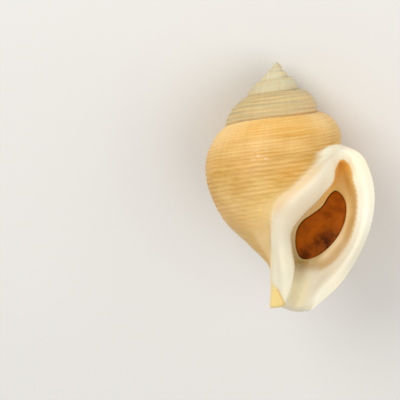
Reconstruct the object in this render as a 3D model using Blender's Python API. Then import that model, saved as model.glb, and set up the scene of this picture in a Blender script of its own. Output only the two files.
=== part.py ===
"""A bonnet-type helmet shell with its horny lid drawn into the mouth, lying on its back.

The shell is worked out in its own frame first: the coiling axis is upright with the apex at the top, x
points to the right of someone who looks into the mouth, and y points away from them. Depths are measured
down from the apex. The finished shell is then laid on its back, so that the mouth looks up and the spire
points along +Y. Sizes are in millimetres until the meshes are made.
"""

import math

import bmesh
import bpy
import numpy as np
from mathutils import Matrix, Vector

MM = 0.001

# Growth. Turns count back from the lip, which is turn 0, to the apex.
FIRST_TURN = -5.0
TURN_GROWTH = 0.62
LIP_ANGLE = math.radians(-8.0)
APEX_DEPTH = 0.0
APEX_DOME = ((0.72, 0.42), (0.38, 0.12))

# The seam between whorls: turn, distance from the axis, depth. Before these turns the growth law gives it,
# and past the lip it goes on as the widest line of the body whorl.
SUTURE = (
    (-1.57, 9.9, 12.3),
    (-1.07, 14.1, 17.0),
    (-0.57, 17.6, 22.6),
    (-0.30, 20.0, 27.0),
    (-0.12, 21.3, 30.4),
    (-0.05, 22.4, 30.6),
    (0.00, 23.4, 29.3),
    (0.07, 23.9, 31.0),
    (0.25, 24.6, 35.0),
    (0.48, 25.4, 38.5),
    (0.75, 26.3, 41.8),
    (1.00, 27.0, 45.4),
)

# How full the whorls are between two seams: an exponent of 2 is a quarter of an ellipse. They are fuller on
# the lip's side. Each swells a little over the seam below.
WHORL_FULLNESS = 1.80
FULLER_AT_LIP = 0.27
WHORL_BULGE = 0.16

# The body whorl below its widest line. Each row is a turn, then distance from the axis and depth at the
# flank, the base, the waist, the canal and the canal's tip.
BASE_MARKS = (0.0, 0.33, 0.55, 0.72, 0.85, 1.0)
BASE = (
    (-1.00, 16.2, 49.3, 7.6, 57.8, 4.7, 63.4, 5.8, 73.8, 3.6, 87.8),
    (-0.76, 18.6, 54.0, 11.9, 61.9, 7.9, 68.4, 7.4, 77.4, 7.4, 87.8),
    (-0.70, 18.5, 55.0, 11.0, 63.4, 5.4, 70.2, 4.7, 78.4, 5.2, 88.3),
    (-0.63, 18.6, 56.0, 10.2, 65.2, 3.2, 72.8, 2.4, 79.4, 3.0, 88.6),
    (-0.52, 18.8, 56.7, 9.5, 66.2, 2.4, 73.9, 1.8, 80.6, 2.4, 88.4),
    (-0.25, 20.9, 58.7, 12.2, 67.3, 5.2, 74.9, 3.9, 81.4, 4.2, 88.0),
    (-0.10, 22.9, 59.0, 15.5, 68.2, 9.8, 75.2, 8.2, 82.2, 8.1, 90.0),
    (0.00, 23.8, 59.4, 17.3, 68.4, 12.2, 75.6, 10.1, 82.3, 9.4, 89.8),
)

# Spiral cords: their height, how many cross a whorl of the spire, the body whorl's upper part and its base,
# and the turns between which a second set grows in.
CORD_HEIGHT = 0.45
SPIRE_CORDS = 7
BAND_CORDS = 14
BASE_CORDS = 17
CORD_DOUBLING = (-1.15, -0.90)
EARLY_CORD_SHARE = 1.5

# Where the cords rise and fade: rows below a seam, rows above the next seam, rows on the way to the canal, and
# turns from the shield's edge.
CORD_RISE = (0.0, 0.06)
CORD_END = (0.94, 1.0)
CORD_FADE = (1.70, 2.05)
SHIELD_FADE = (0.0, 0.05)

# The turn where the glazed shield's left edge crosses a row, and the station of the mouth to which each row
# of that edge and of the lip leads. Row 1 is the widest line, row 3 the canal's tip.
SHIELD_ROWS = (1.0, 1.10, 1.22, 1.36, 1.52, 1.70, 2.0, 2.4, 3.0)
SHIELD_TURNS = (-1.0, -0.905, -0.862, -0.83, -0.775, -0.752, -0.742, -0.735, -0.715)
SHIELD_STATIONS = ((1.0, (16.0,)), (1.2, (15.2,)), (1.5, (14.1,)), (1.8, (12.9,)), (2.2, (11.8,)), (3.0, (10.0,)))
LIP_STATIONS = ((0.0, (0.0,)), (1.0, (2.9,)), (2.0, (6.1,)), (3.0, (8.0,)))

# The flare of the outer lip, and the lip's outer edge from its back corner to the canal: x, y, depth.
FLARE_START = -0.10
FLARE_POWER = 2.4
LIP_EDGE = (
    (23.2, -3.3, 29.3),
    (30.6, -5.0, 32.8),
    (34.2, -6.0, 39.6),
    (35.7, -6.6, 48.0),
    (34.8, -6.9, 56.5),
    (32.1, -7.1, 65.0),
    (27.8, -7.8, 73.3),
    (21.9, -10.4, 81.2),
    (12.2, -13.9, 89.2),
)

# The stations of the mouth along the canal's tip, from the lip, share 0, to the shield, share 1.
TIP_STATIONS = ((0.0, (8.0,)), (0.2, (9.0,)), (0.42, (9.4,)), (1.0, (10.0,)))

# Rings of the mouth, as x, y, depth. Stations 0 to 8 go down the outer lip, 8 to 10 across the canal, and
# 10 to 16 up the pillar and over the glazed shield, back to the corner at 0.
FACE_CREST = (
    (22.9, -6.2, 31.9),
    (27.9, -7.4, 34.9),
    (30.7, -8.1, 40.6),
    (32.2, -8.5, 48.4),
    (31.6, -8.7, 56.3),
    (29.3, -9.0, 64.2),
    (25.2, -9.6, 71.6),
    (19.4, -11.0, 78.7),
    (10.6, -12.9, 87.2),
    (6.6, 1.6, 87.6),
    (2.8, -7.6, 87.0),
    (2.6, -10.0, 77.0),
    (1.4, -11.4, 66.0),
    (1.8, -16.4, 57.0),
    (6.8, -19.8, 49.8),
    (15.6, -17.4, 41.0),
)
MOUTH_EDGE = (
    (22.9, -3.0, 35.5),
    (25.4, -3.2, 37.3),
    (27.2, -3.5, 41.5),
    (29.0, -3.8, 48.0),
    (28.7, -4.0, 56.0),
    (26.5, -4.3, 63.7),
    (22.6, -4.2, 69.9),
    (17.2, -4.0, 75.2),
    (12.6, -4.0, 79.0),
    (8.6, 1.4, 79.0),
    (5.8, -7.6, 80.8),
    (6.1, -8.0, 75.0),
    (5.0, -6.8, 66.6),
    (5.6, -6.0, 60.5),
    (10.1, -5.6, 54.5),
    (16.8, -4.9, 47.6),
)
THROAT = (
    (22.0, 0.5, 37.4),
    (23.6, 0.5, 39.6),
    (25.0, 0.5, 43.6),
    (26.3, 0.5, 49.7),
    (26.0, 0.5, 56.5),
    (23.8, 0.5, 63.0),
    (19.7, 0.5, 68.2),
    (15.3, 0.5, 71.5),
    (11.9, 0.8, 72.6),
    (8.8, 2.2, 72.4),
    (6.6, 0.8, 70.8),
    (5.6, 0.5, 66.6),
    (5.7, 0.5, 62.2),
    (7.7, 0.5, 57.6),
    (11.8, 0.5, 53.4),
    (17.4, 0.5, 47.4),
)

# The hollow behind the lid, as distance from the axis and depth, on two half-planes through the axis.
HOLLOW_TURNS = (-0.12, -0.44)
HOLLOW = (
    (
        (20.4, 33.4),
        (22.0, 35.0),
        (23.8, 38.9),
        (24.7, 44.6),
        (23.6, 51.1),
        (20.9, 57.2),
        (17.0, 62.3),
        (13.2, 65.9),
        (10.1, 67.3),
        (7.6, 67.0),
        (5.8, 64.8),
        (4.9, 60.8),
        (5.2, 56.2),
        (7.9, 52.9),
        (12.6, 47.5),
        (17.8, 40.7),
    ),
    (
        (18.4, 27.0),
        (20.0, 28.4),
        (22.0, 32.3),
        (23.0, 38.4),
        (22.3, 45.0),
        (19.8, 51.0),
        (16.0, 56.2),
        (11.9, 60.1),
        (8.6, 61.6),
        (6.3, 61.2),
        (4.9, 59.0),
        (4.3, 55.1),
        (4.6, 50.8),
        (7.2, 44.6),
        (12.1, 38.2),
        (16.8, 31.5),
    ),
)
HOLLOW_END = (-0.50, 14.0, 46.0)

# The lid: its outline as x and depth, how deep it sits, its thickness and its dish.
LID_OUTLINE = (
    (21.4, 46.4),
    (23.9, 48.1),
    (25.2, 51.7),
    (24.8, 56.5),
    (23.1, 60.9),
    (20.9, 64.3),
    (17.7, 67.6),
    (14.4, 69.8),
    (11.0, 70.9),
    (8.8, 70.3),
    (7.5, 67.9),
    (7.0, 64.3),
    (7.6, 60.3),
    (9.8, 57.0),
    (13.2, 54.6),
    (16.8, 51.8),
    (19.0, 48.4),
)
LID_Y = 0.4
LID_THICKNESS = 1.0
LID_DISH = 0.8
LID_ROUNDING = 0.3
LID_RIM = 0.88
LID_RINGS = (1.0, LID_RIM, 0.62, 0.32)
LID_POINTS = 34

# How finely the solids are divided: columns in a turn, rows of each part of the wall, and rings of the mouth.
COLUMNS = 28
EARLY_ROWS = 5
EARLY_UNTIL = -3.0
PLAIN_UNTIL = -2.0
CANAL_ROWS = 7
MOUTH_STEPS = (2, 3, 2, 2, 2)
FINE_RINGS = 5
HOLLOW_POINTS = 56

# How it lies: rolled about its length and tipped toward its spire until it balances.
ROLL = math.radians(2.4)
TIP = math.radians(-25.7)


def eased(x, low, high):
    """0 below low, 1 above high, smooth between."""
    share = np.clip((x - low) / (high - low), 0.0, 1.0)
    return share * share * (3.0 - 2.0 * share)


def through(x, places, values, first_slope=None, closed=False):
    """A smooth curve through values at places, read at each x."""
    places = np.asarray(places, float)
    values = np.asarray(values, float)
    if closed:
        period = places[-1] - places[0]
        places = np.concatenate([[places[-2] - period], places, [places[1] + period]])
        values = np.concatenate([values[-2:-1], values, values[1:2]])
    step = np.diff(places)[:, None]
    rise = np.diff(values, axis=0) / step
    inner = (rise[:-1] * step[1:] + rise[1:] * step[:-1]) / (step[:-1] + step[1:])
    slope = np.concatenate([rise[:1], inner, rise[-1:]])
    if first_slope is not None:
        slope[0] = first_slope
    x = np.clip(np.asarray(x, float), places[0], places[-1])
    k = np.clip(np.searchsorted(places, x, side="right") - 1, 0, len(step) - 1)
    width = step[k]
    t = (x - places[k])[:, None] / width
    return (
        values[k] * (1 + 2 * t) * (1 - t) ** 2
        + slope[k] * width * t * (1 - t) ** 2
        + values[k + 1] * t * t * (3 - 2 * t)
        - slope[k + 1] * width * t * t * (1 - t)
    )


def suture(turn):
    """Distance from the axis and depth of the seam at a turn."""
    table = np.array(SUTURE)
    if turn < table[0, 0]:
        return table[0, 1:] * math.exp(TURN_GROWTH * (turn - table[0, 0]))
    return through([turn], table[:, 0], table[:, 1:])[0]


def turn_angle(turn):
    """The angle round the axis at a turn."""
    return LIP_ANGLE - 2.0 * math.pi * turn


def band_curve(turn, shares):
    """The whorl from its seam, share 0, to the seam below or the widest line, share 1."""
    top = suture(turn)
    power = 2.0 / (WHORL_FULLNESS + FULLER_AT_LIP * math.cos(turn_angle(turn)))
    angle = np.asarray(shares)[:, None] * math.pi / 2
    across = np.sin(angle) ** power + WHORL_BULGE * np.sin(angle) ** 4 * np.cos(angle)
    down = 1.0 - np.cos(angle) ** power
    return top + (suture(turn + 1.0) - top) * np.concatenate([across, down], axis=1)


def base_curve(turn, shares):
    """The body whorl from its widest line, share 0, to the canal's tip, share 1."""
    table = np.array(BASE)
    marks = through([turn], table[:, 0], table[:, 1:])[0].reshape(-1, 2)
    knots = np.concatenate([suture(turn + 1.0)[None], marks])
    straight_down = (0.0, (knots[1, 1] - knots[0, 1]) / BASE_MARKS[1])
    return through(shares, BASE_MARKS, knots, first_slope=straight_down)


def even(curve, turn, shares):
    """Points of a curve at even shares of its length, and the outward normals there."""
    fine = np.linspace(0.0, 1.0, 200)
    points = curve(turn, fine)
    length = np.concatenate([[0.0], np.cumsum(np.linalg.norm(np.diff(points, axis=0), axis=1))])
    places = np.interp(np.asarray(shares) * length[-1], length, fine)
    tangent = curve(turn, np.minimum(places + 1e-3, 1.0)) - curve(turn, np.maximum(places - 1e-3, 0.0))
    tangent /= np.linalg.norm(tangent, axis=1)[:, None]
    normal = np.stack([tangent[:, 1], -tangent[:, 0]], axis=1)
    return curve(turn, places), normal


def shield_edge(row):
    """The turn where the glazed shield's left edge crosses a row. Row 1 is the widest line, 3 the canal's tip."""
    return through(np.atleast_1d(row), SHIELD_ROWS, np.array(SHIELD_TURNS)[:, None])[:, 0]


def cord_lift(turn, row):
    """How far the spiral cords lift the surface. Rows 0 to 1 are the band, 1 to 2 the base, 2 to 3 the canal."""
    row = np.asarray(row, float)
    phase = np.where(row < 1.0, row * BAND_CORDS, (row - 1.0) * BASE_CORDS)
    fine = 0.5 + 0.5 * np.cos(2.0 * math.pi * phase)
    plain = 0.5 - 0.5 * np.cos(2.0 * math.pi * row * SPIRE_CORDS)
    doubled = np.where(row > 1.0, 1.0, eased(turn, *CORD_DOUBLING))
    size = CORD_HEIGHT * min(1.0, EARLY_CORD_SHARE * math.exp(TURN_GROWTH * (turn + 1.0)))
    fade = eased(row, *CORD_RISE) * (1.0 - eased(row, *CORD_FADE))
    if turn < -1.0:
        fade = fade * (1.0 - eased(row, *CORD_END))
    shielded = eased(turn - shield_edge(np.maximum(row, 1.0)), *SHIELD_FADE)
    fade = fade * np.where((row > 0.97) & (turn > -1.0), shielded, 1.0)
    return size * fade * (doubled * fine + (1.0 - doubled) * plain)


def lip_station(row):
    """The station of the lip at which a row of the outer wall ends."""
    return through(np.atleast_1d(row), *zip(*LIP_STATIONS))[:, 0]


def shield_station(row):
    """The station of the mouth's rings to which a row of the shield's left edge leads."""
    return through(np.atleast_1d(row), *zip(*SHIELD_STATIONS))[:, 0]


def on_ring(ring, stations):
    """Points of a closed ring of sixteen stations."""
    return through(stations, np.arange(17), ring + ring[:1], closed=True)


def swung(profile, turn):
    """Points of a half-plane, as distance and depth, swung to their turn: x, y, depth."""
    profile = np.asarray(profile)
    angle = turn_angle(turn)
    return np.stack([profile[:, 0] * math.cos(angle), profile[:, 0] * math.sin(angle), profile[:, 1]], axis=1)


def wall_points(turn, rows):
    """One column of the outer wall with its cords: x, y, depth."""
    rows = np.asarray(rows, float)
    band = rows <= 1.0
    points = np.empty((len(rows), 2))
    normal = np.empty((len(rows), 2))
    points[band], normal[band] = even(band_curve, turn, rows[band])
    if not band.all():
        points[~band], normal[~band] = even(base_curve, turn, (rows[~band] - 1.0) / 2.0)
    return swung(points + normal * cord_lift(turn, rows)[:, None], turn)


def flared(points, turn, rows):
    """Adds the lip's flare to a column near the lip."""
    share = (turn - FLARE_START) / -FLARE_START
    if share <= 0.0:
        return points
    edge = through(lip_station(rows), np.arange(9), LIP_EDGE)
    return points + (edge - wall_points(0.0, rows)) * share**FLARE_POWER


class Skin:
    """The vertices and faces of one closed surface."""

    def __init__(self):
        self.points = []
        self.faces = []

    def add(self, point):
        self.points.append(tuple(point))
        return len(self.points) - 1

    def add_all(self, points):
        return [self.add(point) for point in points]

    def zip(self, first, first_at, second, second_at):
        """Triangles between two rows of vertices, each with its places along the row."""
        i = j = 0
        while i < len(first) - 1 or j < len(second) - 1:
            step_first = j == len(second) - 1
            if not step_first and i < len(first) - 1:
                step_first = first_at[i + 1] + first_at[i] <= second_at[j + 1] + second_at[j]
            if step_first:
                corners = (first[i], first[i + 1], second[j])
                i += 1
            else:
                corners = (first[i], second[j + 1], second[j])
                j += 1
            if len(set(corners)) == 3:
                self.faces.append(corners)

    def fan(self, loop, centre):
        for first, second in zip(loop, loop[1:] + loop[:1]):
            if first != second:
                self.faces.append((first, second, centre))


def rows_of(turn):
    """The rows of a column of the spire."""
    if turn < EARLY_UNTIL:
        return np.linspace(0.0, 1.0, EARLY_ROWS)
    if turn < PLAIN_UNTIL:
        return np.linspace(0.0, 1.0, 2 * SPIRE_CORDS + 1)
    return np.linspace(0.0, 1.0, 2 * BAND_CORDS + 1)


def add_spire(skin):
    """The whorls above the body whorl. Returns the columns by number, counted back from turn 0."""
    columns = {}
    first = round(FIRST_TURN * COLUMNS)
    for number in range(first, -COLUMNS + 1):
        turn = number / COLUMNS
        rows = rows_of(turn)
        points = wall_points(turn, rows)
        above = columns.get(number - COLUMNS)
        top = skin.add(points[0]) if above is None else above[0][-1]
        columns[number] = ([top] + skin.add_all(points[1:]), rows)
    for number in range(first, -COLUMNS):
        skin.zip(*columns[number], *columns[number + 1])
    rim = [columns[number][0][0] for number in range(first, first + COLUMNS)] + columns[first][0][:0:-1]
    edge = np.array([skin.points[k] for k in rim])
    places = np.arange(len(rim) + 1)
    for spread, sunk in APEX_DOME:
        inner = edge * spread
        inner[:, 2] = APEX_DEPTH + (edge[:, 2] - APEX_DEPTH) * sunk
        ring = skin.add_all(inner)
        skin.zip(rim + rim[:1], places, ring + ring[:1], places)
        rim = ring
    skin.fan(rim, skin.add((0.0, 0.0, APEX_DEPTH)))
    return columns


def add_body(skin, spire):
    """The body whorl's outer wall. Returns its columns from the shield's edge to the lip, and their rows."""
    band = np.linspace(0.0, 1.0, 2 * BAND_CORDS + 1)
    base = np.linspace(1.0, 2.0, 2 * BASE_CORDS + 1)[1:]
    canal = np.linspace(2.0, 3.0, CANAL_ROWS + 1)[1:]
    rows = np.concatenate([band, base, canal])
    start = np.where(rows > 1.0, shield_edge(np.maximum(rows, 1.0)), -1.0)
    first_column = spire[-COLUMNS][0]
    columns = []
    for number in range(COLUMNS + 1):
        share = number / COLUMNS
        turns = start * (1.0 - share)
        points = np.empty((len(rows), 3))
        for turn in np.unique(turns):
            here = turns == turn
            points[here] = flared(wall_points(turn, rows[here]), turn, rows[here])
        top = spire[number - 2 * COLUMNS][0][-1]
        if number == 0:
            columns.append(first_column + skin.add_all(points[len(band) :]))
        elif number == COLUMNS:
            columns.append([first_column[-1]] + skin.add_all(points[1:]))
        else:
            columns.append([top] + skin.add_all(points[1:]))
    for left, right in zip(columns, columns[1:]):
        skin.zip(left, rows, right, rows)
    return columns, rows


def mouth_rim(columns, rows):
    """The body whorl's open edge as one loop of vertices and their stations."""
    widest = int(np.argmin(np.abs(rows - 1.0)))
    lip = list(columns[-1])
    tip = [column[-1] for column in columns[-2:0:-1]]
    shield = columns[0][:widest:-1]
    stations = np.concatenate(
        [
            lip_station(rows),
            through(np.linspace(0.0, 1.0, len(tip) + 2)[1:-1], *zip(*TIP_STATIONS))[:, 0],
            shield_station(rows[:widest:-1]),
        ]
    )
    return lip + tip + shield, stations


def mouth_tracks(start, stations):
    """The rings between the rim and the end of the hollow: one array of points for each step."""
    rings = [start] + [on_ring(ring, stations) for ring in (FACE_CREST, MOUTH_EDGE, THROAT)]
    for turn, ring in zip(HOLLOW_TURNS, HOLLOW):
        rings.append(swung(on_ring(ring, stations), turn))
    tracks = []
    for track in np.stack(rings).transpose(1, 0, 2):
        length = np.concatenate([[0.0], np.cumsum(np.linalg.norm(np.diff(track, axis=0), axis=1) + 1e-6)])
        places = [0.0]
        for begin, end, steps in zip(length, length[1:], MOUTH_STEPS):
            places.extend(begin + (end - begin) * np.arange(1, steps + 1) / steps)
        tracks.append(through(places, length, track))
    return np.stack(tracks).transpose(1, 0, 2)


def add_mouth(skin, rim, stations):
    """The lip's face, the canal, the pillar, the glazed shield and the hollow, from the rim inward."""
    rim_points = np.array([skin.points[k] for k in rim])
    edge, edge_at = rim + rim[:1], np.append(stations, 16.0)
    deep_stations = np.linspace(0.0, 16.0, HOLLOW_POINTS + 1)[:-1]
    closed_rim = np.concatenate([rim_points, rim_points[:1]])
    coarse_rim = np.stack([np.interp(deep_stations, edge_at, closed_rim[:, k]) for k in range(3)], axis=1)
    fine = mouth_tracks(rim_points, stations)
    coarse = mouth_tracks(coarse_rim, deep_stations)
    for number in range(1, len(fine)):
        points, at = (fine[number], stations) if number <= FINE_RINGS else (coarse[number], deep_stations)
        ring = skin.add_all(points)
        ring, ring_at = ring + ring[:1], np.append(at, 16.0)
        skin.zip(edge, edge_at, ring, ring_at)
        edge, edge_at = ring, ring_at
    end = swung([HOLLOW_END[1:]], HOLLOW_END[0])[0]
    skin.fan(edge[:-1], skin.add(end))


def add_lid(skin):
    """The horny plate: an outline with a dished face, a rounded edge and a flat back."""
    count = len(LID_OUTLINE)
    at = np.arange(LID_POINTS) * count / LID_POINTS
    outline = through(at, np.arange(count + 1), LID_OUTLINE + LID_OUTLINE[:1], closed=True)
    middle = outline.mean(axis=0)
    faces = []
    for side in (0, 1):
        loops = []
        for ring in LID_RINGS:
            spread = middle + (outline - middle) * ring
            rounded = LID_ROUNDING * LID_THICKNESS * (1.0 - 2.0 * side) * eased(ring, LID_RIM, 1.0)
            depth = LID_Y + LID_THICKNESS * side + rounded + LID_DISH * (1.0 - ring**2)
            points = np.stack([spread[:, 0], np.full(LID_POINTS, depth), spread[:, 1]], axis=1)
            loops.append(skin.add_all(points))
        centre = skin.add((middle[0], LID_Y + LID_THICKNESS * side + LID_DISH, middle[1]))
        faces.append((loops, centre))
    places = np.arange(LID_POINTS + 1)
    for loops, centre in faces:
        for outer, inner in zip(loops, loops[1:]):
            skin.zip(outer + outer[:1], places, inner + inner[:1], places)
        skin.fan(loops[-1], centre)
    front, back = faces[0][0][0], faces[1][0][0]
    skin.zip(front + front[:1], places, back + back[:1], places)


def laid_down(skin):
    """The skin's points turned onto the shell's back, in millimetres, with the mouth up."""
    turn = Matrix.Rotation(TIP, 3, "X") @ Matrix.Rotation(ROLL, 3, "Y")
    return [turn @ Vector((x, -depth, -y)) for x, y, depth in skin.points]


def material(name, colour, roughness):
    surface = bpy.data.materials.new(name)
    surface.use_nodes = True
    shader = surface.node_tree.nodes["Principled BSDF"]
    shader.inputs["Base Color"].default_value = (*colour, 1.0)
    shader.inputs["Roughness"].default_value = roughness
    shader.inputs["Metallic"].default_value = 0.0
    return surface


def make_object(name, points, skin, surface):
    """One closed object, its faces pointing out, shaded smooth."""
    mesh = bpy.data.meshes.new(name)
    mesh.from_pydata([point * MM for point in points], [], skin.faces)
    body = bmesh.new()
    body.from_mesh(mesh)
    bmesh.ops.recalc_face_normals(body, faces=body.faces)
    body.to_mesh(mesh)
    body.free()
    mesh.shade_smooth()
    mesh.materials.append(surface)
    piece = bpy.data.objects.new(name, mesh)
    bpy.context.scene.collection.objects.link(piece)
    return piece


def main():
    for old in list(bpy.data.objects):
        bpy.data.objects.remove(old, do_unlink=True)
    shell = Skin()
    columns, rows = add_body(shell, add_spire(shell))
    add_mouth(shell, *mouth_rim(columns, rows))
    lid = Skin()
    add_lid(lid)
    shell_points = laid_down(shell)
    lid_points = laid_down(lid)
    low = Vector([min(point[k] for point in shell_points) for k in range(3)])
    high = Vector([max(point[k] for point in shell_points) for k in range(3)])
    origin = Vector(((low.x + high.x) / 2, (low.y + high.y) / 2, low.z))
    glossy = material("shell_surface", (0.87, 0.60, 0.30), 0.45)
    horn = material("operculum_surface", (0.27, 0.07, 0.01), 0.5)
    make_object("shell", [point - origin for point in shell_points], shell, glossy)
    make_object("operculum", [point - origin for point in lid_points], lid, horn)


main()
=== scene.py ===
"""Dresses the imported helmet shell: the corded and glazed shell, its horny lid and a small studio.

The shell is worked out in its own frame first, in millimetres: the coiling axis is upright with the apex at
the top, x points to the right of someone who looks into the mouth, y points away from them, and depths are
measured down from the apex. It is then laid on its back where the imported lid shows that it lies.
"""

import math

import bmesh
import bpy
import numpy as np
from mathutils import Matrix, Vector


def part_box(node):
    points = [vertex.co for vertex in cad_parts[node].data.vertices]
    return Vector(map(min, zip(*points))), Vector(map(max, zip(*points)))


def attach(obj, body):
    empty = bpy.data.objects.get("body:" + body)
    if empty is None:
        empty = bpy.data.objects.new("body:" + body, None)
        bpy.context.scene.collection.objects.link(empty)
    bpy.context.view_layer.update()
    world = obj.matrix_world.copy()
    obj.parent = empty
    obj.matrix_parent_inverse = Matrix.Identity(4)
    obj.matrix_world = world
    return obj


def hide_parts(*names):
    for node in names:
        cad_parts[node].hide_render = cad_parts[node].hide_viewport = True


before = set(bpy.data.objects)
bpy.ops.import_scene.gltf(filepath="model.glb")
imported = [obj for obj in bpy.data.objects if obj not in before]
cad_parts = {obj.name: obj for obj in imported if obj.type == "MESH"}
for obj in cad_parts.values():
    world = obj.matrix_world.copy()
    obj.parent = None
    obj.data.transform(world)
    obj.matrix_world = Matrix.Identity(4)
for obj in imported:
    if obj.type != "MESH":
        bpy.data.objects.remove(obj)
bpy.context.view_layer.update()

bl_info = {
    "name": "Helmet shell",
    "version": (1, 0, 0),
    "blender": (4, 5, 0),
    "location": "3D View > Sidebar > Helmet shell",
    "description": "Builds a corded helmet shell with a glazed lip, its horny lid and a small studio",
    "category": "Add Mesh",
}

MM = 0.001


def srgb(red, green, blue):
    """A colour seen on a screen, 0 to 255, as the renderer's own linear values."""
    shares = [value / 255.0 for value in (red, green, blue)]
    return tuple(s / 12.92 if s <= 0.04045 else ((s + 0.055) / 1.055) ** 2.4 for s in shares)


# Growth. Turns count back from the lip, which is turn 0, to the apex.
FIRST_TURN = -5.0
TURN_GROWTH = 0.62
LIP_ANGLE = math.radians(-8.0)
APEX_DEPTH = 0.0
APEX_DOME = ((0.88, 0.70), (0.72, 0.42), (0.55, 0.24), (0.38, 0.12), (0.19, 0.03))

# The seam between whorls: turn, distance from the axis, depth.
SUTURE = (
    (-1.57, 9.9, 12.3),
    (-1.07, 14.1, 17.0),
    (-0.57, 17.6, 22.6),
    (-0.30, 20.0, 27.0),
    (-0.12, 21.3, 30.4),
    (-0.05, 22.4, 30.6),
    (0.00, 23.4, 29.3),
    (0.07, 23.9, 31.0),
    (0.25, 24.6, 35.0),
    (0.48, 25.4, 38.5),
    (0.75, 26.3, 41.8),
    (1.00, 27.0, 45.4),
)
WHORL_FULLNESS = 1.80
FULLER_AT_LIP = 0.27
WHORL_BULGE = 0.16

# The body whorl below its widest line. Each row is a turn, then distance from the axis and depth at the
# flank, the base, the waist, the canal and the canal's tip.
BASE_MARKS = (0.0, 0.33, 0.55, 0.72, 0.85, 1.0)
BASE = (
    (-1.00, 16.2, 49.3, 7.6, 57.8, 4.7, 63.4, 5.8, 73.8, 3.6, 87.8),
    (-0.76, 18.6, 54.0, 11.9, 61.9, 7.9, 68.4, 7.4, 77.4, 7.4, 87.8),
    (-0.70, 18.5, 55.0, 11.0, 63.4, 5.4, 70.2, 4.7, 78.4, 5.2, 88.3),
    (-0.63, 18.6, 56.0, 10.2, 65.2, 3.2, 72.8, 2.4, 79.4, 3.0, 88.6),
    (-0.52, 18.8, 56.7, 9.5, 66.2, 2.4, 73.9, 1.8, 80.6, 2.4, 88.4),
    (-0.25, 20.9, 58.7, 12.2, 67.3, 5.2, 74.9, 3.9, 81.4, 4.2, 88.0),
    (-0.10, 22.9, 59.0, 15.5, 68.2, 9.8, 75.2, 8.2, 82.2, 8.1, 90.0),
    (0.00, 23.8, 59.4, 17.3, 68.4, 12.2, 75.6, 10.1, 82.3, 9.4, 89.8),
)

# Spiral cords: how many cross a whorl of the spire, the body whorl's upper part and its base, the turns
# between which a second set grows in, and where they rise and fade.
SPIRE_CORDS = 7
BAND_CORDS = 14
BASE_CORDS = 17
CORD_DOUBLING = (-1.15, -0.90)
EARLY_CORD_SHARE = 1.5
CORD_RISE = (0.0, 0.06)
CORD_END = (0.94, 1.0)
CORD_FADE = (1.20, 2.15)
SHIELD_FADE = (0.0, 0.05)
SMOOTH_APEX = (-4.4, -3.6)
CORD_UNEVENNESS = 0.8
LIP_SCALLOP = 1.7

# The turn where the glazed shield's left edge crosses a row, and the stations of the mouth to which the rows
# of that edge, of the lip and of the canal's tip lead. Row 1 is the widest line, row 3 the canal's tip.
SHIELD_ROWS = (1.0, 1.10, 1.22, 1.36, 1.52, 1.70, 2.0, 2.4, 3.0)
SHIELD_TURNS = (-1.0, -0.905, -0.862, -0.83, -0.775, -0.752, -0.742, -0.735, -0.715)
SHIELD_STATIONS = ((1.0, (16.0,)), (1.2, (15.2,)), (1.5, (14.1,)), (1.8, (12.9,)), (2.2, (11.8,)), (3.0, (10.0,)))
LIP_STATIONS = ((0.0, (0.0,)), (1.0, (2.9,)), (2.0, (6.1,)), (3.0, (8.0,)))
TIP_STATIONS = ((0.0, (8.0,)), (0.2, (9.0,)), (0.42, (9.4,)), (1.0, (10.0,)))

# The flare of the outer lip, and the lip's outer edge from its back corner to the canal: x, y, depth.
FLARE_START = -0.10
FLARE_POWER = 2.4
LIP_EDGE = (
    (23.2, -3.3, 29.3),
    (30.6, -5.0, 32.8),
    (34.2, -6.0, 39.6),
    (35.7, -6.6, 48.0),
    (34.8, -6.9, 56.5),
    (32.1, -7.1, 65.0),
    (27.8, -7.8, 73.3),
    (21.9, -10.4, 81.2),
    (12.2, -13.9, 89.2),
)

# Rings of the mouth, as x, y, depth. Stations 0 to 8 go down the outer lip, 8 to 10 across the canal, and
# 10 to 16 up the pillar and over the glazed shield, back to the corner at 0.
FACE_CREST = (
    (22.9, -6.2, 31.9),
    (27.9, -7.4, 34.9),
    (30.7, -8.1, 40.6),
    (32.2, -8.5, 48.4),
    (31.6, -8.7, 56.3),
    (29.3, -9.0, 64.2),
    (25.2, -9.6, 71.6),
    (19.4, -11.0, 78.7),
    (11.4, -11.8, 86.7),
    (6.4, -2.8, 87.8),
    (2.8, -7.6, 87.0),
    (2.6, -10.0, 77.0),
    (1.4, -11.4, 66.0),
    (1.8, -16.4, 57.0),
    (6.8, -19.8, 49.8),
    (15.6, -17.4, 41.0),
)
MOUTH_EDGE = (
    (22.9, -4.2, 35.4),
    (26.8, -5.2, 38.4),
    (27.5, -5.9, 42.2),
    (29.0, -6.3, 48.0),
    (28.7, -6.5, 56.0),
    (26.5, -6.7, 63.7),
    (22.6, -6.4, 69.9),
    (17.2, -5.6, 75.2),
    (13.4, -5.0, 78.6),
    (8.7, -2.4, 79.8),
    (5.8, -7.6, 80.8),
    (6.1, -8.4, 75.0),
    (5.0, -8.8, 66.6),
    (5.4, -10.4, 60.5),
    (9.8, -11.4, 54.6),
    (16.6, -9.6, 47.6),
)
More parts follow.
